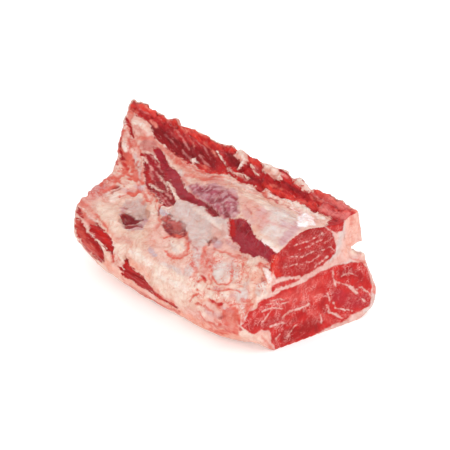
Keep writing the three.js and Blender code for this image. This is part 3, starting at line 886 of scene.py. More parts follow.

# %% [markdown]
# Last come the coverings, which hide what lies under them: the torn sheet of fat, the purple
# membrane with its web of darker meat, and the silverskin with its bright wet spot, which is a
# painted highlight.

# %% Sheet, membrane and silverskin
COVERINGS = [
    (CHALK, 1, 1.0, 0, FAT_SHEET),
    (PEARL, 4, 0.7, 9, (180,212, 190,216, 186,224)),
    (BLUSH, 4, 0.6, 0, (212,224, 228,226, 228,240, 214,240)),
    (PLUM, 4, 1.0, 0, PURPLE_MEMBRANE),
    (MAUVE, 2, 0.7, 4, (212,186, 224,190, 238,194)),
    (MAUVE, 2, 0.6, 4, (194,192, 204,196)),
    (MAUVE, 3, 0.5, 5, (212,198, 222,204)),
    (MAUVE, 2, 0.5, 4, (228,214, 238,212)),
    (WINE, 2, 0.5, 5, (200,190, 206,188), (214,202, 226,198, 236,200)),
    (WINE, 1.5, 0.7, 3, (223,205, 225,209)),
    (WINE, 1.5, 0.7, 4, (224,212, 229,216)),
    (WINE, 2, 0.4, 5, (234,204, 238,210)),
    (WINE, 2, 0.4, 4, (208,192, 214,188)),
    (BEIGE, 4, 1.0, 0, SILVERSKIN),
    (PEARL, 5, 0.8, 0, (262,204, 282,208, 298,218, 292,236, 278,250, 262,238, 256,222)),
    (ROSE, 5, 0.55, 0, (240,192, 256,200, 272,212, 262,232, 250,224, 241,214)),
    (ROSE, 2, 0.5, 3, (258,214, 270,222, 280,226)),
    (CREAM, 3, 0.8, 5, (246,194, 258,200, 268,207)),
    (CREAM, 3, 0.6, 4, (262,236, 274,246, 280,250)),
    (MAUVE, 3, 0.6, 7, (284,224, 293,228, 297,224)),
    (MAUVE, 2, 0.5, 4, (258,214, 264,211)),
    (MAUVE, 4, 0.4, 7, (246,212, 250,222)),
    # painted shadow along the silverskin's right edge, in mauve
    (MAUVE, 3, 0.8, 8, (282,242, 289,234, 297,229)),
    (CORAL, 3, 0.7, 0, (224,310, 236,308, 238,330, 228,330, 222,320)),
    (CORAL, 3, 0.6, 5, (134,142, 138,150, 139,157), (288,343, 298,341)),
    (CORAL, 3, 0.6, 4, (182,178, 188,184), (144,138, 146,134), (84,216, 92,222)),
    (CORAL, 3, 0.7, 5, (130,124, 132,114)),
    (CORAL, 3, 0.5, 5, (150,287, 160,296, 172,303)),
    (CREAM, 3, 0.8, 5, (270,198, 284,203, 292,207)),
    # painted highlight: a pale streak along the silverskin beside its wet spot
    (IVORY, 2, 0.9, 4, (270,195, 284,200, 300,207, 314,214, 324,220)),
    (IVORY, 2, 0.7, 4, (226,180, 240,185, 252,190)),
    (IVORY, 2, 0.6, 5, (196,210, 212,220, 222,228)),
    (IVORY, 2, 0.7, 3, (266,240, 276,248)),
    (SEAM_RED, 1.0, 0.8, 1.3, (260,193, 268,199, 278,203), (288,208, 298,213, 308,219, 314,223)),
    (SEAM_RED, 1.2, 0.5, 1.6, (246,206, 252,214, 250,222)),
    (SEAM_RED, 1.2, 0.5, 1.4, (256,208, 266,214)),
    (SEAM_RED, 1.2, 0.6, 1.6, (229,222, 230,232, 234,242), (188,238, 192,246, 198,251)),
    # painted highlight: the wet spot on the silverskin and a few small glints
    (PAINTED_GLINT, 1.5, 1.0, 0, (297,216, 303,214, 312,219, 316,225, 306,226, 298,227)),
    (PAINTED_GLINT, 2, 0.8, 3, (292,208, 302,213, 312,220)),
    (PAINTED_GLINT, 2, 0.8, 4, (262,243, 272,249, 278,252)),
    (PAINTED_GLINT, 2, 0.7, 4, (268,270, 270,280)),
]
fat_colours, swell = brush(fat_colours, swell, COVERINGS)
web = rough(points, 7, 3, 73)
in_web = step(-2, 2, membrane) * inner_side
fat_colours = wash(fat_colours, MAUVE, step(0.05, 0.4, web) * 0.8 * in_web)
fat_colours = wash(fat_colours, WINE, step(0.1, 0.5, -web) * 0.5 * in_web)
print("coverings:", len(COVERINGS), "rows of strokes")

# %% [markdown]
# ## Meat
# The torn flank is the brightest, with pink fibres where it was pulled apart. Along its crest,
# painted highlights lie on the bright meat, and in its folds painted shade lies on the dark meat.
# The psoas meat in the bands and patches is violet and dark, because little air has reached it, and
# its crevices carry painted shade. The cut is clean and even, with lobes of slightly different reds.

# %% The torn flank
TORN_FLANK = [
    # painted shade in the folds of the flank, over darker meat
    (DARK_MEAT_AND_SHADE, 5, 0.9, 0, (150,122, 170,128, 180,142, 200,146, 216,152, 216,170, 200,164, 182,156,
     164,144, 152,134)),
    (DARK_MEAT_AND_SHADE, 4, 0.9, 0, (224,150, 238,152, 240,168, 228,168)),
    (DARK_MEAT_AND_SHADE, 3, 0.9, 3, (284,181, 294,189, 304,194)),
    (DARK_MEAT_AND_SHADE, 3, 0.7, 5, (236,170, 250,178, 262,180)),
    (DARK_MEAT_AND_SHADE, 4, 0.7, 7, (160,134, 176,150, 186,156)),
    # painted highlights on bright meat along the crest, with pale dabs as small glints
    (BRIGHT_MEAT_AND_HIGHLIGHT, 3, 0.9, 9, (132,102, 150,110, 168,118, 190,130, 210,141)),
    (BRIGHT_MEAT_AND_HIGHLIGHT, 3, 0.8, 6, (216,144, 232,149, 250,159, 268,168), (288,178, 310,188, 334,200,
     356,211)),
    (BRIGHT_MEAT_AND_HIGHLIGHT, 3, 0.8, 4, (192,166, 206,172, 226,174)),
    (BRIGHT_MEAT_AND_HIGHLIGHT, 3, 0.9, 6, (264,186, 284,196, 304,203, 326,208, 346,214)),
    (CREST_HIGHLIGHT, 3, 1.0, 7, (128,98, 140,101, 154,108, 166,113)),
    (CREST_HIGHLIGHT, 3, 0.9, 7, (172,119, 184,126, 196,128, 208,136)),
    (CREST_HIGHLIGHT, 3, 0.9, 6, (216,141, 228,142, 240,148), (318,189, 334,198, 350,206, 359,212)),
    (CREST_HIGHLIGHT, 2, 0.8, 4, (252,158, 264,161)),
    (FLANK_GLINT, 1.5, 0.8, 2.4, (146,106, 150,109), (164,117, 170,120), (180,127, 186,130), (200,133,
     206,138), (222,146, 228,147), (330,198, 340,203), (348,208, 356,213)),
    (FLANK_GLINT, 1.5, 0.7, 2.0, (190,140, 194,146), (212,150, 216,156), (150,120, 156,126)),
    (SCARLET, 2, 0.8, 4, (174,124, 178,128), (222,147, 232,152)),
    (SCARLET, 2, 0.8, 5, (200,136, 208,141), (224,167, 234,170, 240,178), (284,177, 290,181)),
    (PINK_MEAT, 2, 0.7, 4, (134,103, 138,107)),
    (PINK_MEAT, 2, 0.6, 3, (196,133, 190,131)),
    (PINK_MEAT, 2, 0.6, 5, (184,134, 192,140), (318,196, 330,202, 340,206)),
    (PINK_MEAT, 2, 0.7, 5, (324,208, 334,213, 342,216)),
    (PINK_MEAT, 2, 0.5, 3, (152,113, 158,118), (166,128, 176,138)),
    (TORN_PINK, 2, 0.7, 3, (130,108, 138,113)),
    (TORN_PINK, 1.5, 0.7, 2, (158,116, 162,122), (174,126, 178,133), (204,142, 210,150), (270,184,
     284,190), (310,196, 322,202), (200,164, 210,170), (294,200, 306,204)),
    (FATTY_PINK, 3, 0.8, 7, (322,208, 334,212, 346,216)),
    (FATTY_PINK, 3, 0.7, 4, (328,199, 338,204, 346,208)),
    (FATTY_PINK, 2, 0.8, 4, (278,172, 286,176)),
    (FATTY_PINK, 2, 0.7, 3, (250,164, 256,168)),
]
meat_colours = wash(np.zeros((len(points), 3)), MEAT, np.ones(len(points)))
meat_colours = wash(meat_colours, CUT_MEAT, is_cut)
meat_colours, _ = brush(meat_colours, swell, TORN_FLANK)
print("torn flank:", len(TORN_FLANK), "rows of strokes")

# %% Bands and patches
BANDS = [
    (VIOLET_MEAT, 3, 1.0, 0, SMOOTH_BAND, RAGGED_PATCH, WINDOW),
    (DEEP_RED, 2, 0.7, 0, RAGGED_PATCH),
    # painted shade on dark meat in the crevices of the patches and bands, and in the second pit
    (DARK_MEAT_AND_SHADE, 2, 0.9, 5, (208,206, 213,211, 218,216), (157,168, 162,174), (150,184, 158,188,
     166,194, 172,202)),
    (DARK_MEAT_AND_SHADE, 3, 0.8, 8, (236,226, 244,230, 250,232)),
    (DARK_MEAT_AND_SHADE, 2, 0.7, 4, (176,194, 186,199, 196,202), (164,160, 168,170)),
    (DARK_MEAT_AND_SHADE, 2, 0.9, 4, (166,229, 172,233)),
    (SCARLET, 3, 0.9, 6, (231,222, 232,234)),
    (SCARLET, 3, 0.7, 5, (147,172, 150,182)),
    (SCARLET, 2, 0.8, 5, (272,256, 271,264)),
    (SCARLET, 3, 0.8, 5, (94,228, 102,236, 106,246)),
    (THREAD_PINK, 0.9, 0.9, 1.6, (145,158, 151,167, 157,173, 163,181, 168,187)),
    (THREAD_PINK, 0.9, 0.75, 1.3, (148,154, 155,160, 159,167)),
    (THREAD_PINK, 0.9, 0.8, 1.6, (152,185, 160,189, 168,194, 171,198)),
    (THREAD_PINK, 0.8, 0.6, 1.0, (149,172, 154,180, 157,187), (158,176, 164,183)),
    (THREAD_PINK, 0.8, 0.7, 1.2, (160,196, 165,203, 168,208)),
    (THREAD_PINK, 0.8, 0.5, 1.0, (152,160, 150,168, 153,176)),
    (THREAD_PINK, 0.9, 0.6, 1.4, (156,188, 164,197, 171,205)),
    (THREAD_PINK, 0.9, 0.6, 1.2, (155,164, 162,172)),
    (THREAD_PINK, 0.9, 0.5, 1.2, (164,134, 176,146), (176,130, 184,142, 188,150), (196,140, 204,148,
     210,158), (168,122, 178,132)),
    (THREAD_PINK, 0.9, 0.5, 1.4, (200,156, 208,166), (182,150, 190,160)),
    (THREAD_PINK, 1.2, 0.5, 2.0, (140,110, 150,114)),
    (THREAD_PINK, 1.2, 0.6, 2.0, (226,168, 236,174, 246,180)),
    (THREAD_PINK, 1.0, 0.5, 1.4, (300,186, 316,196, 332,204)),
    (THREAD_PINK, 1.0, 0.5, 1.2, (316,206, 330,210)),
    (OX_RED, 3, 1.0, 0, LOW_STRIP),
    (OX_RED, 3, 0.9, 0, END_PATCH_BELOW),
    (WORN_RED, 3, 0.8, 6, (76,222, 82,238, 92,252)),
    (WORN_RED, 2, 0.7, 3, (90,244, 98,256)),
    (FRESH_RED, 2, 0.8, 4, (95,228, 104,236, 110,248)),
    (FRESH_RED, 2, 0.8, 3, (150,290, 164,300, 178,307)),
    (FRESH_RED, 2, 0.5, 3, (126,262, 130,272)),
]
meat_colours, _ = brush(meat_colours, swell, BANDS)
print("bands and patches:", len(BANDS), "rows of strokes")

# %% The lobes of the cut
CUT_LOBES = [
    (CUT_MEAT, 1, 1.0, 0, CUT_STRIP_LOIN, CUT_THIN_STRIP),
    (FILLET_RED, 1, 1.0, 0, CUT_TENDERLOIN),
    (RIM_RED, 3, 0.9, 7, (275,258, 274,270, 279,274)),
    (SHADE_RED, 3, 0.7, 6, (300,236, 316,232, 328,236)),
    (SHADE_RED, 3, 0.6, 5, (306,256, 318,250, 328,246), (322,300, 324,310), (350,300, 360,304)),
    (SHADE_RED, 3, 0.7, 4, (282,326, 294,320, 304,312)),
    (DARK_LOBE, 5, 0.9, 12, (284,336, 298,332, 314,324)),
    (DARK_LOBE, 4, 0.8, 8, (342,274, 352,271, 360,278)),
    (DARK_LOBE, 4, 0.6, 6, (250,326, 266,324, 280,318)),
    (WINE_LOBE, 4, 0.8, 14, (338,296, 350,302, 362,300)),
    (PALE_LOBE, 5, 0.8, 12, (276,302, 296,296, 316,296)),
    (PALE_LOBE, 4, 0.7, 7, (312,312, 326,318), (304,284, 322,282)),
]
meat_colours, _ = brush(meat_colours, swell, CUT_LOBES)
print("lobes of the cut:", len(CUT_LOBES), "rows of strokes")

# %% [markdown]
# ## Guides for the finish
# A few more numbers for each point tell the finish where to put its fine detail: threads of
# marbling, vessels in raw fat, smooth film, and torn fibres.

# %% Marbling, vessels, film and torn fibres
MARBLED = [
    (256,308, 266,299, 284,297, 300,300, 300,312, 280,318, 262,314),
    (242,322, 252,312, 264,318, 260,330, 246,330), (274,326, 288,324, 290,342, 278,346),
    (336,266, 360,264, 368,282, 346,284), (300,290, 330,280, 334,310, 304,310),
]
marbled = step(-4, 4, patches(MARBLED, seen_at))
marbling = is_cut * (0.4 + 0.55 * marbled) + 0.8 * is_rib_end
RAW = [  # softness, width (0: filled) and line: where fine vessels show in the fat
    (8, 24, (124,112, 128,150, 118,176, 92,196)), (6, 16, (142,150, 146,180, 154,204, 176,232)),
    (6, 10, (170,152, 206,176, 250,188, 300,212)),
    (8, 0, (164,236, 190,240, 200,262, 204,300, 190,300, 190,270, 170,262)),
    (8, 0, (200,250, 262,258, 272,280, 254,306, 246,334, 204,332, 190,306)),
    (6, 10, (76,206, 92,218, 108,240, 118,262)),
]
raw = union(*[
    (strand(line, width, seen_at) if width else patch(line, seen_at)) / softness
    for softness, width, line in RAW
])
unseen_raw = 0.15 + 0.6 * step(0, 0.4, rough(points, 40, 2, 79))
raw = step(-1, 1, raw) * seen + unseen_raw * (1 - seen)
raw = np.maximum(raw, end_bone)
film = step(-3, 3, union(silverskin, membrane, patch(SMOOTH_BAND, seen_at))) * inner_side
film = np.maximum(film, back_film * 0.8)
film = np.maximum(film, 0.5 * step(-1.5, 1.5, fat_sheet) * inner_side)
torn = 1 - 0.65 * step(-1, 1, patches((SMOOTH_BAND, WINDOW), seen_at))
print("vessels show on", round(100 * (raw > 0.5).mean()), "% of the skin")

# %% [markdown]
# ## Sculpting
# The relief follows the map. Bare meat lies a little below the fat around it and is drawn out in
# fibres along the loin, the crest of the flank is torn, sheets and strands of fat stand proud, and
# the vertebrae swell the near side. The cut was made by one stroke of a knife and a saw, so it
# stays almost flat: only the seams dip, and the muscle bulges a little between them. A simulation
# would add nothing here, because the meat just lies there under its own weight.

# %% Grain and wrinkles
FLANK_SLANT = 0.45  # the flank's fibres fall by this much along the loin
on_meat = step(-1.2, 1.2, bare)
slanted = points + points[:, :1] * (0, 0, FLANK_SLANT)
in_flank = step(-3, 3, patch(FLANK_LEAN, seen_at)) * inner_side
grain_at = np.where(in_flank[:, None] > 0.5, slanted, points)
fibre = rough(grain_at, (30, 5, 5), 3, 31)
bundle = rough(grain_at, (40, 10, 10), 2, 37)
wrinkle = 1 - np.abs(noise(points, (26, 11, 11), 41)) * 2
fine_wrinkle = 1 - np.abs(noise(points, (12, 6, 6), 42)) * 2
print("meat lies bare on", round(100 * on_meat.mean()), "% of the skin")

# %% Arches, knife marks, and fuller or slimmer places
ARCHES = [
    (174,240, 188,240, 194,250, 192,264, 182,270), (200,240, 206,254, 202,270, 206,288, 214,298),
    (214,256, 232,256, 244,266, 238,284), (248,262, 262,268, 267,280, 256,296, 250,304),
]
GROWTH = [  # mm, width and line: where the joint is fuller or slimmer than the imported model
    (3.4, 8, (133,99, 138,99)), (-3.0, 8, (152,102, 162,106)),
    (2.6, 9, (127,104, 123,125, 121,150)), (3.2, 9, (119,163, 112,172, 104,180, 92,190)),
    (-1.8, 7, (112,276, 122,286, 142,298, 165,311, 200,330, 222,339, 246,345, 256,347)),
    (2.6, 8, (218,141, 232,144)), (-1.6, 7, (238,150, 252,156)), (-2.0, 7, (278,168, 294,176)),
    (3.0, 8, (302,180, 318,187, 328,194)), (3.4, 8, (342,202, 350,206, 358,211)),
    (2.0, 6, (352,243, 351,250)), (2.0, 6, (355,251, 364,253)),
    (1.8, 6, (371,285, 374,290, 372,305)),
]
KNIFE_MARKS = [  # on the outer fat: mm along the loin and mm up
    (-140,34, -96,48, -60,52), (-40,22, 4,30, 36,28), (60,52, 98,60, 130,56), (-90,96, -62,108),
    (86,18, 120,26),
]
ARCH_WIDTH = 7  # pixels
MARK_WIDTH = 1.6  # mm
arches = step(-4, 3, strokes([(ARCH_WIDTH, line) for line in ARCHES], seen_at))
growth = sum(size * step(-4, 3, strand(line, width, seen_at)) for size, width, line in GROWTH)
marks = step(-1.5, 0.5, strokes([(MARK_WIDTH, line) for line in KNIFE_MARKS], back_at))
print(len(ARCHES), "arches,", len(GROWTH), "fuller or slimmer places,", len(KNIFE_MARKS), "marks")

# %% Relief
FAT_LUMPS = 0.9  # all of these are heights in mm
FAT_PEBBLES = 0.5
WRINKLES = 0.8
FINE_WRINKLES = 0.4
STROKE_SWELL = 1.3
MEAT_LEVEL = -1.1
FIBRES = 0.8
BUNDLES = 0.6
FLANK_BUNDLES = 1.3
PAD_RISE = 0.6
SHEET_RISE = 1.2
ARCH_RISE = 1.2
BACK_BULGES = 1.6
BACK_WAVES = 1.2
KNIFE_DEPTH = 1.6
CREST_LUMPS = 3.2
CUT_BULGE = 0.5
SEAM_DIP = 0.6
SAW_GRAIN = 0.15
CALM = 0.75  # the share of all this that the silverskin hides
fat_height = FAT_LUMPS * rough(points, 24, 3, 43) + FAT_PEBBLES * rough(points, 7, 2, 47)
fat_height += WRINKLES * wrinkle + FINE_WRINKLES * fine_wrinkle + STROKE_SWELL * swell
meat_height = MEAT_LEVEL + FIBRES * fibre + (BUNDLES + FLANK_BUNDLES * in_flank) * bundle
height = fat_height + (meat_height - fat_height) * on_meat
height += PAD_RISE * step(-2, 1.5, pads) * inner_side
height += SHEET_RISE * step(-1.2, 1.2, fat_sheet) * inner_side
height += ARCH_RISE * arches * inner_side
height += hidden_back * (BACK_BULGES * drawn_out + BACK_WAVES * rough(points, 40, 2, 89))
height -= hidden_back * KNIFE_DEPTH * marks
height += CREST_LUMPS * rough(points, 13, 3, 53) * step(108, 124, up)
height *= 1 - CALM * step(0.3, 0.9, step(-2, 2, silverskin) * inner_side)
cut_height = CUT_BULGE * step(0, 6, bare) - SEAM_DIP * step(-1, 0.6, seams)
cut_height += SAW_GRAIN * noise(points, 3, 59)
height = height + (cut_height - height) * np.clip(step(9, 4, to_cut), 0, 1)
points = points + facing * ((height + growth) * MM)[:, None]
points[:, 2] = np.maximum(points[:, 2], 0)  # it rests on its flat underside
write_points(skin.data, points)
print("relief from", height.min().round(1), "to", height.max().round(1), "mm")

# %% [markdown]
# ## Painted shade in the hollows, painted light on the crests
# The relief itself tints the fat and the meat: each point is compared with the mean height around
# it.
# Low places are darkened and reddened as painted shade, where blood and meat juice also gather, and
# the crests are paled as painted light, where they also dry.

# %% Painted shade and light that follow the relief
LAMP_GAIN = (1.14, 1.2, 1.2)  # the lamps lift the painted colours by this much
SHEEN = 0.018  # and the sheen adds this much white to the dark meat
DARKEST = 0.004
HOLLOW_ROUNDS = 24
mean_height = eased(height[:, None], links, [EASE] * HOLLOW_ROUNDS)[:, 0]
hollow = (mean_height - height) * (1 - is_cut)
open_fat = 1 - 0.7 * film
painted_crest_light = step(0.2, 1.2, -hollow) * 0.5 * open_fat * (1 - 0.6 * hidden_back)
# painted shade in the fat's hollows, in coral, and painted light on its crests, in ivory
fat_colours = wash(fat_colours, CORAL, step(0.2, 1.4, hollow) * 0.42 * open_fat)
fat_colours = wash(fat_colours, IVORY, painted_crest_light)
# painted shade in the meat's hollows, in wine, and painted light on its crests, in pink
meat_colours = wash(meat_colours, WINE, step(0.3, 1.6, hollow) * 0.6)
meat_colours = wash(meat_colours, PINK_MEAT, step(0.3, 1.4, -hollow) * 0.6)
fat_colours = fat_colours / LAMP_GAIN
meat_colours = np.maximum(meat_colours - SHEEN, DARKEST) / LAMP_GAIN
print("hollows:", round(100 * (hollow > 0.4).mean()), "% of the skin")

# %% [markdown]
# ## Back to six pieces
# The skin is one closed shell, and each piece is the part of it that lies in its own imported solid.
# So a copy of the skin is intersected with a copy of each solid, whose outer faces are first pushed
# out past the skin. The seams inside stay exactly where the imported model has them.

# %% Cutting up the skin
NEAR_SKIN = 2.5 * MM
PUSH = 7 * MM
SEAM_SWELL = 0.35 * MM
LAST = "fat_cover"  # what is left when the others are cut out
tree = BVHTree.FromObject(skin, bpy.context.evaluated_depsgraph_get())
pieces = {}
for node in sorted(set(nodes) - {LAST}):
    solid = merged_copy(node, node + "_solid")
    apply_modifier(solid, "DISPLACE", strength=SEAM_SWELL, mid_level=0)
    for point in solid.data.vertices:
        place, normal, _, gap = tree.find_nearest(point.co)
        if gap < NEAR_SKIN:
            point.co = point.co + normal * PUSH
    activate(skin)
    bpy.ops.object.duplicate()
    piece = bpy.context.object
    piece.name = piece.data.name = node + "_meat"
    apply_modifier(piece, "BOOLEAN", operation="INTERSECT", object=solid, solver="MANIFOLD")
    apply_modifier(skin, "BOOLEAN", operation="DIFFERENCE", object=solid, solver="MANIFOLD")
    bpy.data.objects.remove(solid)
    pieces[node] = piece
    print(node, len(piece.data.polygons), "faces")
skin.name = skin.data.name = LAST + "_meat"
pieces[LAST] = skin
print(LAST, len(skin.data.polygons), "faces")

# %% The map goes over to the pieces
finder = KDTree(len(points))
for index, place in enumerate(points):
    finder.insert(place, index)
finder.balance()


def put(mesh, name, values):
    """Stores a number or a colour for each point of a mesh."""
    kind = "FLOAT_COLOR" if values.ndim == 2 else "FLOAT"
    layer = mesh.attributes.new(name, kind, "POINT")
    if values.ndim == 2:
        values = np.hstack([values, np.ones((len(values), 1))])
        layer.data.foreach_set("color", values.astype(np.float32).ravel())
    else:
        layer.data.foreach_set("value", values.astype(np.float32))


LAYERS = {
    "bare": bare,
    "fat_colour": fat_colours,
    "meat_colour": meat_colours,
    "film": film,
    "marbling": marbling,
    "torn": torn,
    "raw": raw,
    "cut": is_cut,
}
SHARP = 58  # degrees: the walls of a seam stay out of the skin's shading
for node, piece in pieces.items():
    nearest = np.array([finder.find(point.co)[1] for point in piece.data.vertices])
    for name, values in LAYERS.items():
        put(piece.data, name, values[nearest])
    activate(piece)
    bpy.ops.object.shade_smooth_by_angle(angle=math.radians(SHARP))
print("layers:", ", ".join(LAYERS))

# %% [markdown]
# ## The finish
# A small class lets shader maths be written as ordinary expressions. Each operation adds its node.

# %% Shader maths
class Value:
    """A socket in a node tree, with the usual operators."""

    def __init__(self, tree, socket):
        self.tree = tree
        self.socket = socket

    def node(self, kind, settings=None, out=0, **inputs):
        """Adds a node. Its settings come first, then values or links for its sockets."""
        made = self.tree.nodes.new(kind)
        for name, value in (settings or {}).items():
            setattr(made, name, value)
        for name, value in inputs.items():
            socket = made.inputs[int(name[1:]) if name[0] == "i" and name[1:].isdigit() else name]
            if isinstance(value, Value):
                self.tree.links.new(value.socket, socket)
            else:
                socket.default_value = value
        return Value(self.tree, made.outputs[out])

    def maths(self, operation, *others):
        inputs = {f"i{place}": value for place, value in enumerate((self, *others))}
        return self.node("ShaderNodeMath", {"operation": operation}, **inputs)

    def __add__(self, other):
        return self.maths("ADD", other)

    def __sub__(self, other):
        return self.maths("SUBTRACT", other)

    def __mul__(self, other):
        return self.maths("MULTIPLY", other)

    def __rsub__(self, other):
        return (self * -1) + other

    __radd__ = __add__
    __rmul__ = __mul__

    def ease(self, low, high):
        """0 below low, 1 above high."""
        settings = {"interpolation_type": "SMOOTHSTEP"}
        inputs = {"Value": self, "From Min": low, "From Max": high}
        return self.node("ShaderNodeMapRange", settings, **inputs)

    def clamp(self):
        return self.node("ShaderNodeClamp", Value=self)

    def line(self, sharp):
        """1 along the lines where noise passes through its middle, and 0 away from them."""
        return 1 - ((self - 0.5).maths("ABSOLUTE") * sharp).clamp()

    def blend(self, other, share, way="MIX"):
        """This colour mixed with another one."""
        settings = {"data_type": "RGBA", "blend_type": way, "clamp_factor": True}
        return self.node("ShaderNodeMix", settings, out=2, i0=share, i6=self, i7=other)

    def stretch(self, *scale):
        return self.node("ShaderNodeMapping", Vector=self, Scale=scale)

    def noise(self, size, detail=3.0, roughness=0.5, distortion=0.0):
        """Smooth noise with bumps of a size in millimetres."""
        return self.node(
            "ShaderNodeTexNoise",
            Vector=self,
            Scale=1 / (size * MM),
            Detail=detail,
            Roughness=roughness,
            Distortion=distortion,
        )

    def cells(self, size):
        """Distance inside rounded cells of a size in millimetres."""
        settings = {"feature": "SMOOTH_F1"}
        return self.node("ShaderNodeTexVoronoi", settings, Vector=self, Scale=1 / (size * MM))


print("shader maths ready")

# %% [markdown]
# ## Lean meat
# All six pieces share one way of painting, because fat and skin run on from one to the next, but
# each has its own measure of grain, lumps and gloss. Meat has fibres that run along the loin, or
# point at you on the cut, and threads of fat between them. Noise that is stretched along the loin
# makes the fibres, and the lines where plain noise passes through its middle make the threads.

# %% Fibres, bundles and marbling
DEEPER = (0.72, 0.34, 0.4, 1)  # these two multiply a colour
LIGHTER = (1.2, 1.35, 1.3, 1)
MARBLE = (*linear(236, 168, 160), 1)
THREAD_SHARP = 20  # how thin the lines in noise are


def layer_colour(start, name):
    return start.node("ShaderNodeAttribute", {"attribute_name": name})


def layer_value(start, name):
    return start.node("ShaderNodeAttribute", {"attribute_name": name}, out=2)


def paint_lean(start, place, along, bundles, cut, torn):
    """The colour and the relief of lean meat, with bundles of fibre of a size in millimetres."""
    fibres = along.noise(1.5, 4, 0.6)
    strands = fibres + (place.noise(2.2, 4, 0.65) - fibres) * cut
    lengths = along.noise(bundles, 4, 0.6)
    bundle = lengths + (place.noise(9, 3, 0.5, 0.8) - lengths) * cut
    lean = layer_colour(start, "meat_colour")
    lean = lean.blend(DEEPER, bundle.ease(0.47, 0.7) * (1 - cut * 0.45) * torn, "MULTIPLY")
    lean = lean.blend(LIGHTER, bundle.ease(0.48, 0.3) * 0.7, "MULTIPLY")
    lean = lean.blend(DEEPER, strands.ease(0.47, 0.3) * (0.7 - cut * 0.35) * torn, "MULTIPLY")
    lean = lean.blend(MARBLE, strands.ease(0.58, 0.74) * (0.34 - cut * 0.2) * torn)
    thread = place.noise(5, 4, 0.6, 1.2).line(THREAD_SHARP) * layer_value(start, "marbling")
    lean = lean.blend(MARBLE, thread * place.noise(13, 3).ease(0.42, 0.6))
    return lean, strands * 0.5 + bundle * 0.7 + thread * 0.1


print("marbling is", MARBLE[:3], "to the shader")

# %% [markdown]
# ## Fat and film
# Fat is lumpy and dull, mottled in pale and flushed spots, with fine creases. Where it was torn, a
# net of red vessels and dabs of blood show. Silverskin and membrane are smooth films, with streaks
# along the loin.

# %% Mottle, creases, vessels and streaks
PALER = (1.05, 1.12, 1.14, 1)  # these two multiply a colour
FLUSHED = (0.92, 0.7, 0.64, 1)
VESSEL = (*linear(208, 72, 56), 1)
NET_SHARP = 17


def paint_fat(start, place, along, lumps, film):
    """The colour and the relief of fat, with lumps of a size in millimetres."""
    fat = layer_colour(start, "fat_colour")
    mottle = place.noise(13, 3, 0.5, 0.6)
    fat = fat.blend(PALER, mottle.ease(0.5, 0.66), "MULTIPLY")
    fat = fat.blend(FLUSHED, mottle.ease(0.47, 0.34) * 0.6, "MULTIPLY")
    crease = place.noise(15, 3, 0.5, 1.6).line(THREAD_SHARP)
    fat = fat.blend(FLUSHED, crease * 0.6 * (1 - film), "MULTIPLY")
    net = place.noise(8, 3, 0.6, 1.4).line(NET_SHARP) * place.noise(20, 3).ease(0.44, 0.56)
    dabs = place.noise(6, 5, 0.65, 0.8).ease(0.6, 0.7)
    raw = layer_value(start, "raw")
    fat = fat.blend(VESSEL, (net * 0.8 + dabs * 0.5) * raw * (1 - film * 0.7))
    streak = along.noise(4, 5, 0.65)
    fat = fat.blend(PALER, streak.ease(0.5, 0.66) * film, "MULTIPLY")
    fat = fat.blend(FLUSHED, streak.ease(0.48, 0.32) * film * 0.9, "MULTIPLY")
    return fat, place.cells(lumps) * -0.15 + mottle * 0.9 - crease * 0.3 + dabs * 0.15


print("vessels are", VESSEL[:3], "to the shader")

# %% [markdown]
# ## The whole finish
# Meat and fat are mixed by how deep a point lies in bare meat, and noise frays the edge between
# them, more where the meat was torn and less on the clean cut. Light goes a little way into both,
# and a thin wet coat lies on them. Lean meat and film are wetter than fat.

# %% The finish of a piece
FRAY = 7  # pixels by which fibres and fat reach over the edge of bare meat
CUT_FRAY = 5.4  # and how much less they do so on the clean cut
STRETCH = (0.14, 1, 1)  # fibres are seven times as long as wide
WET = {
    "Subsurface Weight": 0.1,
    "Subsurface Radius": (1.0, 0.35, 0.2),
    "Subsurface Scale": 2.5 * MM,
    "Specular IOR Level": 0.16,
    "Coat Weight": 0.06,
    "Coat Roughness": 0.18,
}


def meat_finish(name, bundles, slant, lumps, dull):
    """bundles and lumps are in millimetres, slant in radians, and dull is a roughness."""
    material = bpy.data.materials.new(name)
    material.use_nodes = True
    tree = material.node_tree
    shader = tree.nodes["Principled BSDF"]
    start = Value(tree, None)
    place = start.node("ShaderNodeTexCoord", out=3)
    turn = place.node("ShaderNodeVectorRotate", {"rotation_type": "Y_AXIS"}, i0=place, Angle=slant)
    along = turn.stretch(*STRETCH)
    film = layer_value(start, "film")
    cut = layer_value(start, "cut")
    torn = layer_value(start, "torn")

    frayed = place.noise(4, 6, 0.7) + along.noise(2.4, 4, 0.6) - 1
    meat = layer_value(start, "bare") + frayed * (torn * FRAY - cut * CUT_FRAY)
    meat = meat.ease(-0.8, 0.9)
    lean, lean_relief = paint_lean(start, place, along, bundles, cut, torn)
    fat, fat_relief = paint_fat(start, place, along, lumps, film)
    colour = fat.blend(lean, meat)
    wet = place.noise(11, 3).ease(0.35, 0.7)
    dullness = dull - meat * 0.1 - film * 0.16 - wet * 0.12
    relief = fat_relief + (lean_relief - fat_relief) * meat
    relief = relief * (1 - film * 0.6) + place.noise(1.6, 2) * 0.04
    normal = start.node("ShaderNodeBump", Strength=1.0, Distance=MM, Height=relief)
    for name, value in (("Base Color", colour), ("Roughness", dullness), ("Normal", normal)):
        tree.links.new(value.socket, shader.inputs[name])
    for name, value in WET.items():
        shader.inputs[name].default_value = value
    return material


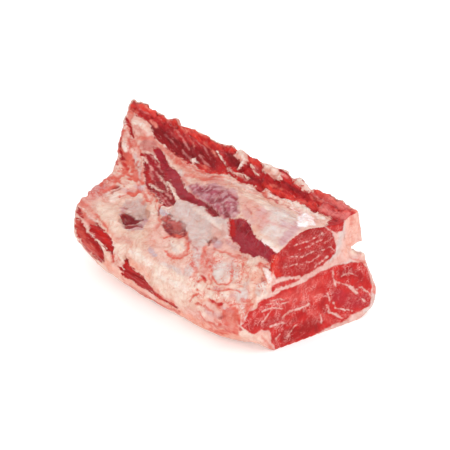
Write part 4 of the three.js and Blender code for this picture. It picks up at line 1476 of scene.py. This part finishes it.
FINISHES = {  # slot, bundles, slant, lumps and roughness
    "tenderloin": ("tenderloin_lean", 5, 0.0, 3.5, 0.5),
    "chine_bone": ("backbone", 5, 0.0, 3.0, 0.55),
    "suet": ("inner_fat", 5, 0.0, 4.5, 0.58),
    "flank": ("flank_lean", 5, -0.42, 4.0, 0.52),
    "strip_loin": ("loin_lean", 5, 0.0, 3.5, 0.5),
    "fat_cover": ("outer_fat", 6, 0.0, 4.0, 0.58),
}
for node, (slot, *measures) in FINISHES.items():
    piece = pieces[node]
    piece.data.materials.clear()
    piece.data.materials.append(meat_finish(slot, *measures))
    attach(piece, "root")
    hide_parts(node)
    print(piece.name, "replaces", node, "with finish", slot)

# %% [markdown]
# ## Light and floor
# The photograph was lit as goods are for a catalogue: a white table and big soft lamps all round,
# so that there are hardly any shadows. The lights here are large panels, the table glows a little,
# and the world adds an even white light.

# %% The floor
FLOOR_GAP = 0.3 * MM  # keeps the floor clear of the underside by a hair
WHITE = (1, 1, 1, 1)
PAPER = (0.93, 0.93, 0.93, 1)
PAPER_TOOTH = (0.9, 0.9, 0.9, 1)
TABLE_GLOW = 0.27
bpy.ops.mesh.primitive_plane_add(size=6, location=(0, 0, -FLOOR_GAP))
floor = bpy.context.object
floor.name = "studio_floor"
paper = bpy.data.materials.new("white_paper")
paper.use_nodes = True
start = Value(paper.node_tree, None)
tooth = start.node("ShaderNodeTexCoord", out=3).noise(3, 2)
white = start.node("ShaderNodeRGB")
white.socket.default_value = PAPER
tint = white.blend(PAPER_TOOTH, tooth * 0.2)
paper_shader = paper.node_tree.nodes["Principled BSDF"]
paper.node_tree.links.new(tint.socket, paper_shader.inputs["Base Color"])
paper_shader.inputs["Roughness"].default_value = 0.9
paper_shader.inputs["Emission Color"].default_value = WHITE
paper_shader.inputs["Emission Strength"].default_value = TABLE_GLOW
floor.data.materials.append(paper)
print("floor:", floor.name)

# %% Lamps and world
WORLD_GLOW = 0.78
LAMPS = [  # name, watts, size in metres, place
    ("key", 17, 1.6, (0.5, -1.6, 2.0)),
    ("fill", 10, 1.4, (1.8, -0.2, 1.2)),
    ("rim", 9, 1.4, (-1.2, 1.0, 1.8)),
]
for name, watts, size, place in LAMPS:
    bpy.ops.object.light_add(type="AREA", location=place)
    lamp = bpy.context.object
    lamp.name = name + "_light"
    lamp.data.energy = watts
    lamp.data.size = size
    lamp.rotation_euler = Vector(place).to_track_quat("Z", "Y").to_euler()
world = bpy.data.worlds.new("studio")
world.use_nodes = True
glow = world.node_tree.nodes["Background"]
glow.inputs["Color"].default_value = WHITE
glow.inputs["Strength"].default_value = WORLD_GLOW
bpy.context.scene.world = world
bpy.context.scene.view_settings.view_transform = "Standard"
print("lamps:", [lamp[0] for lamp in LAMPS])
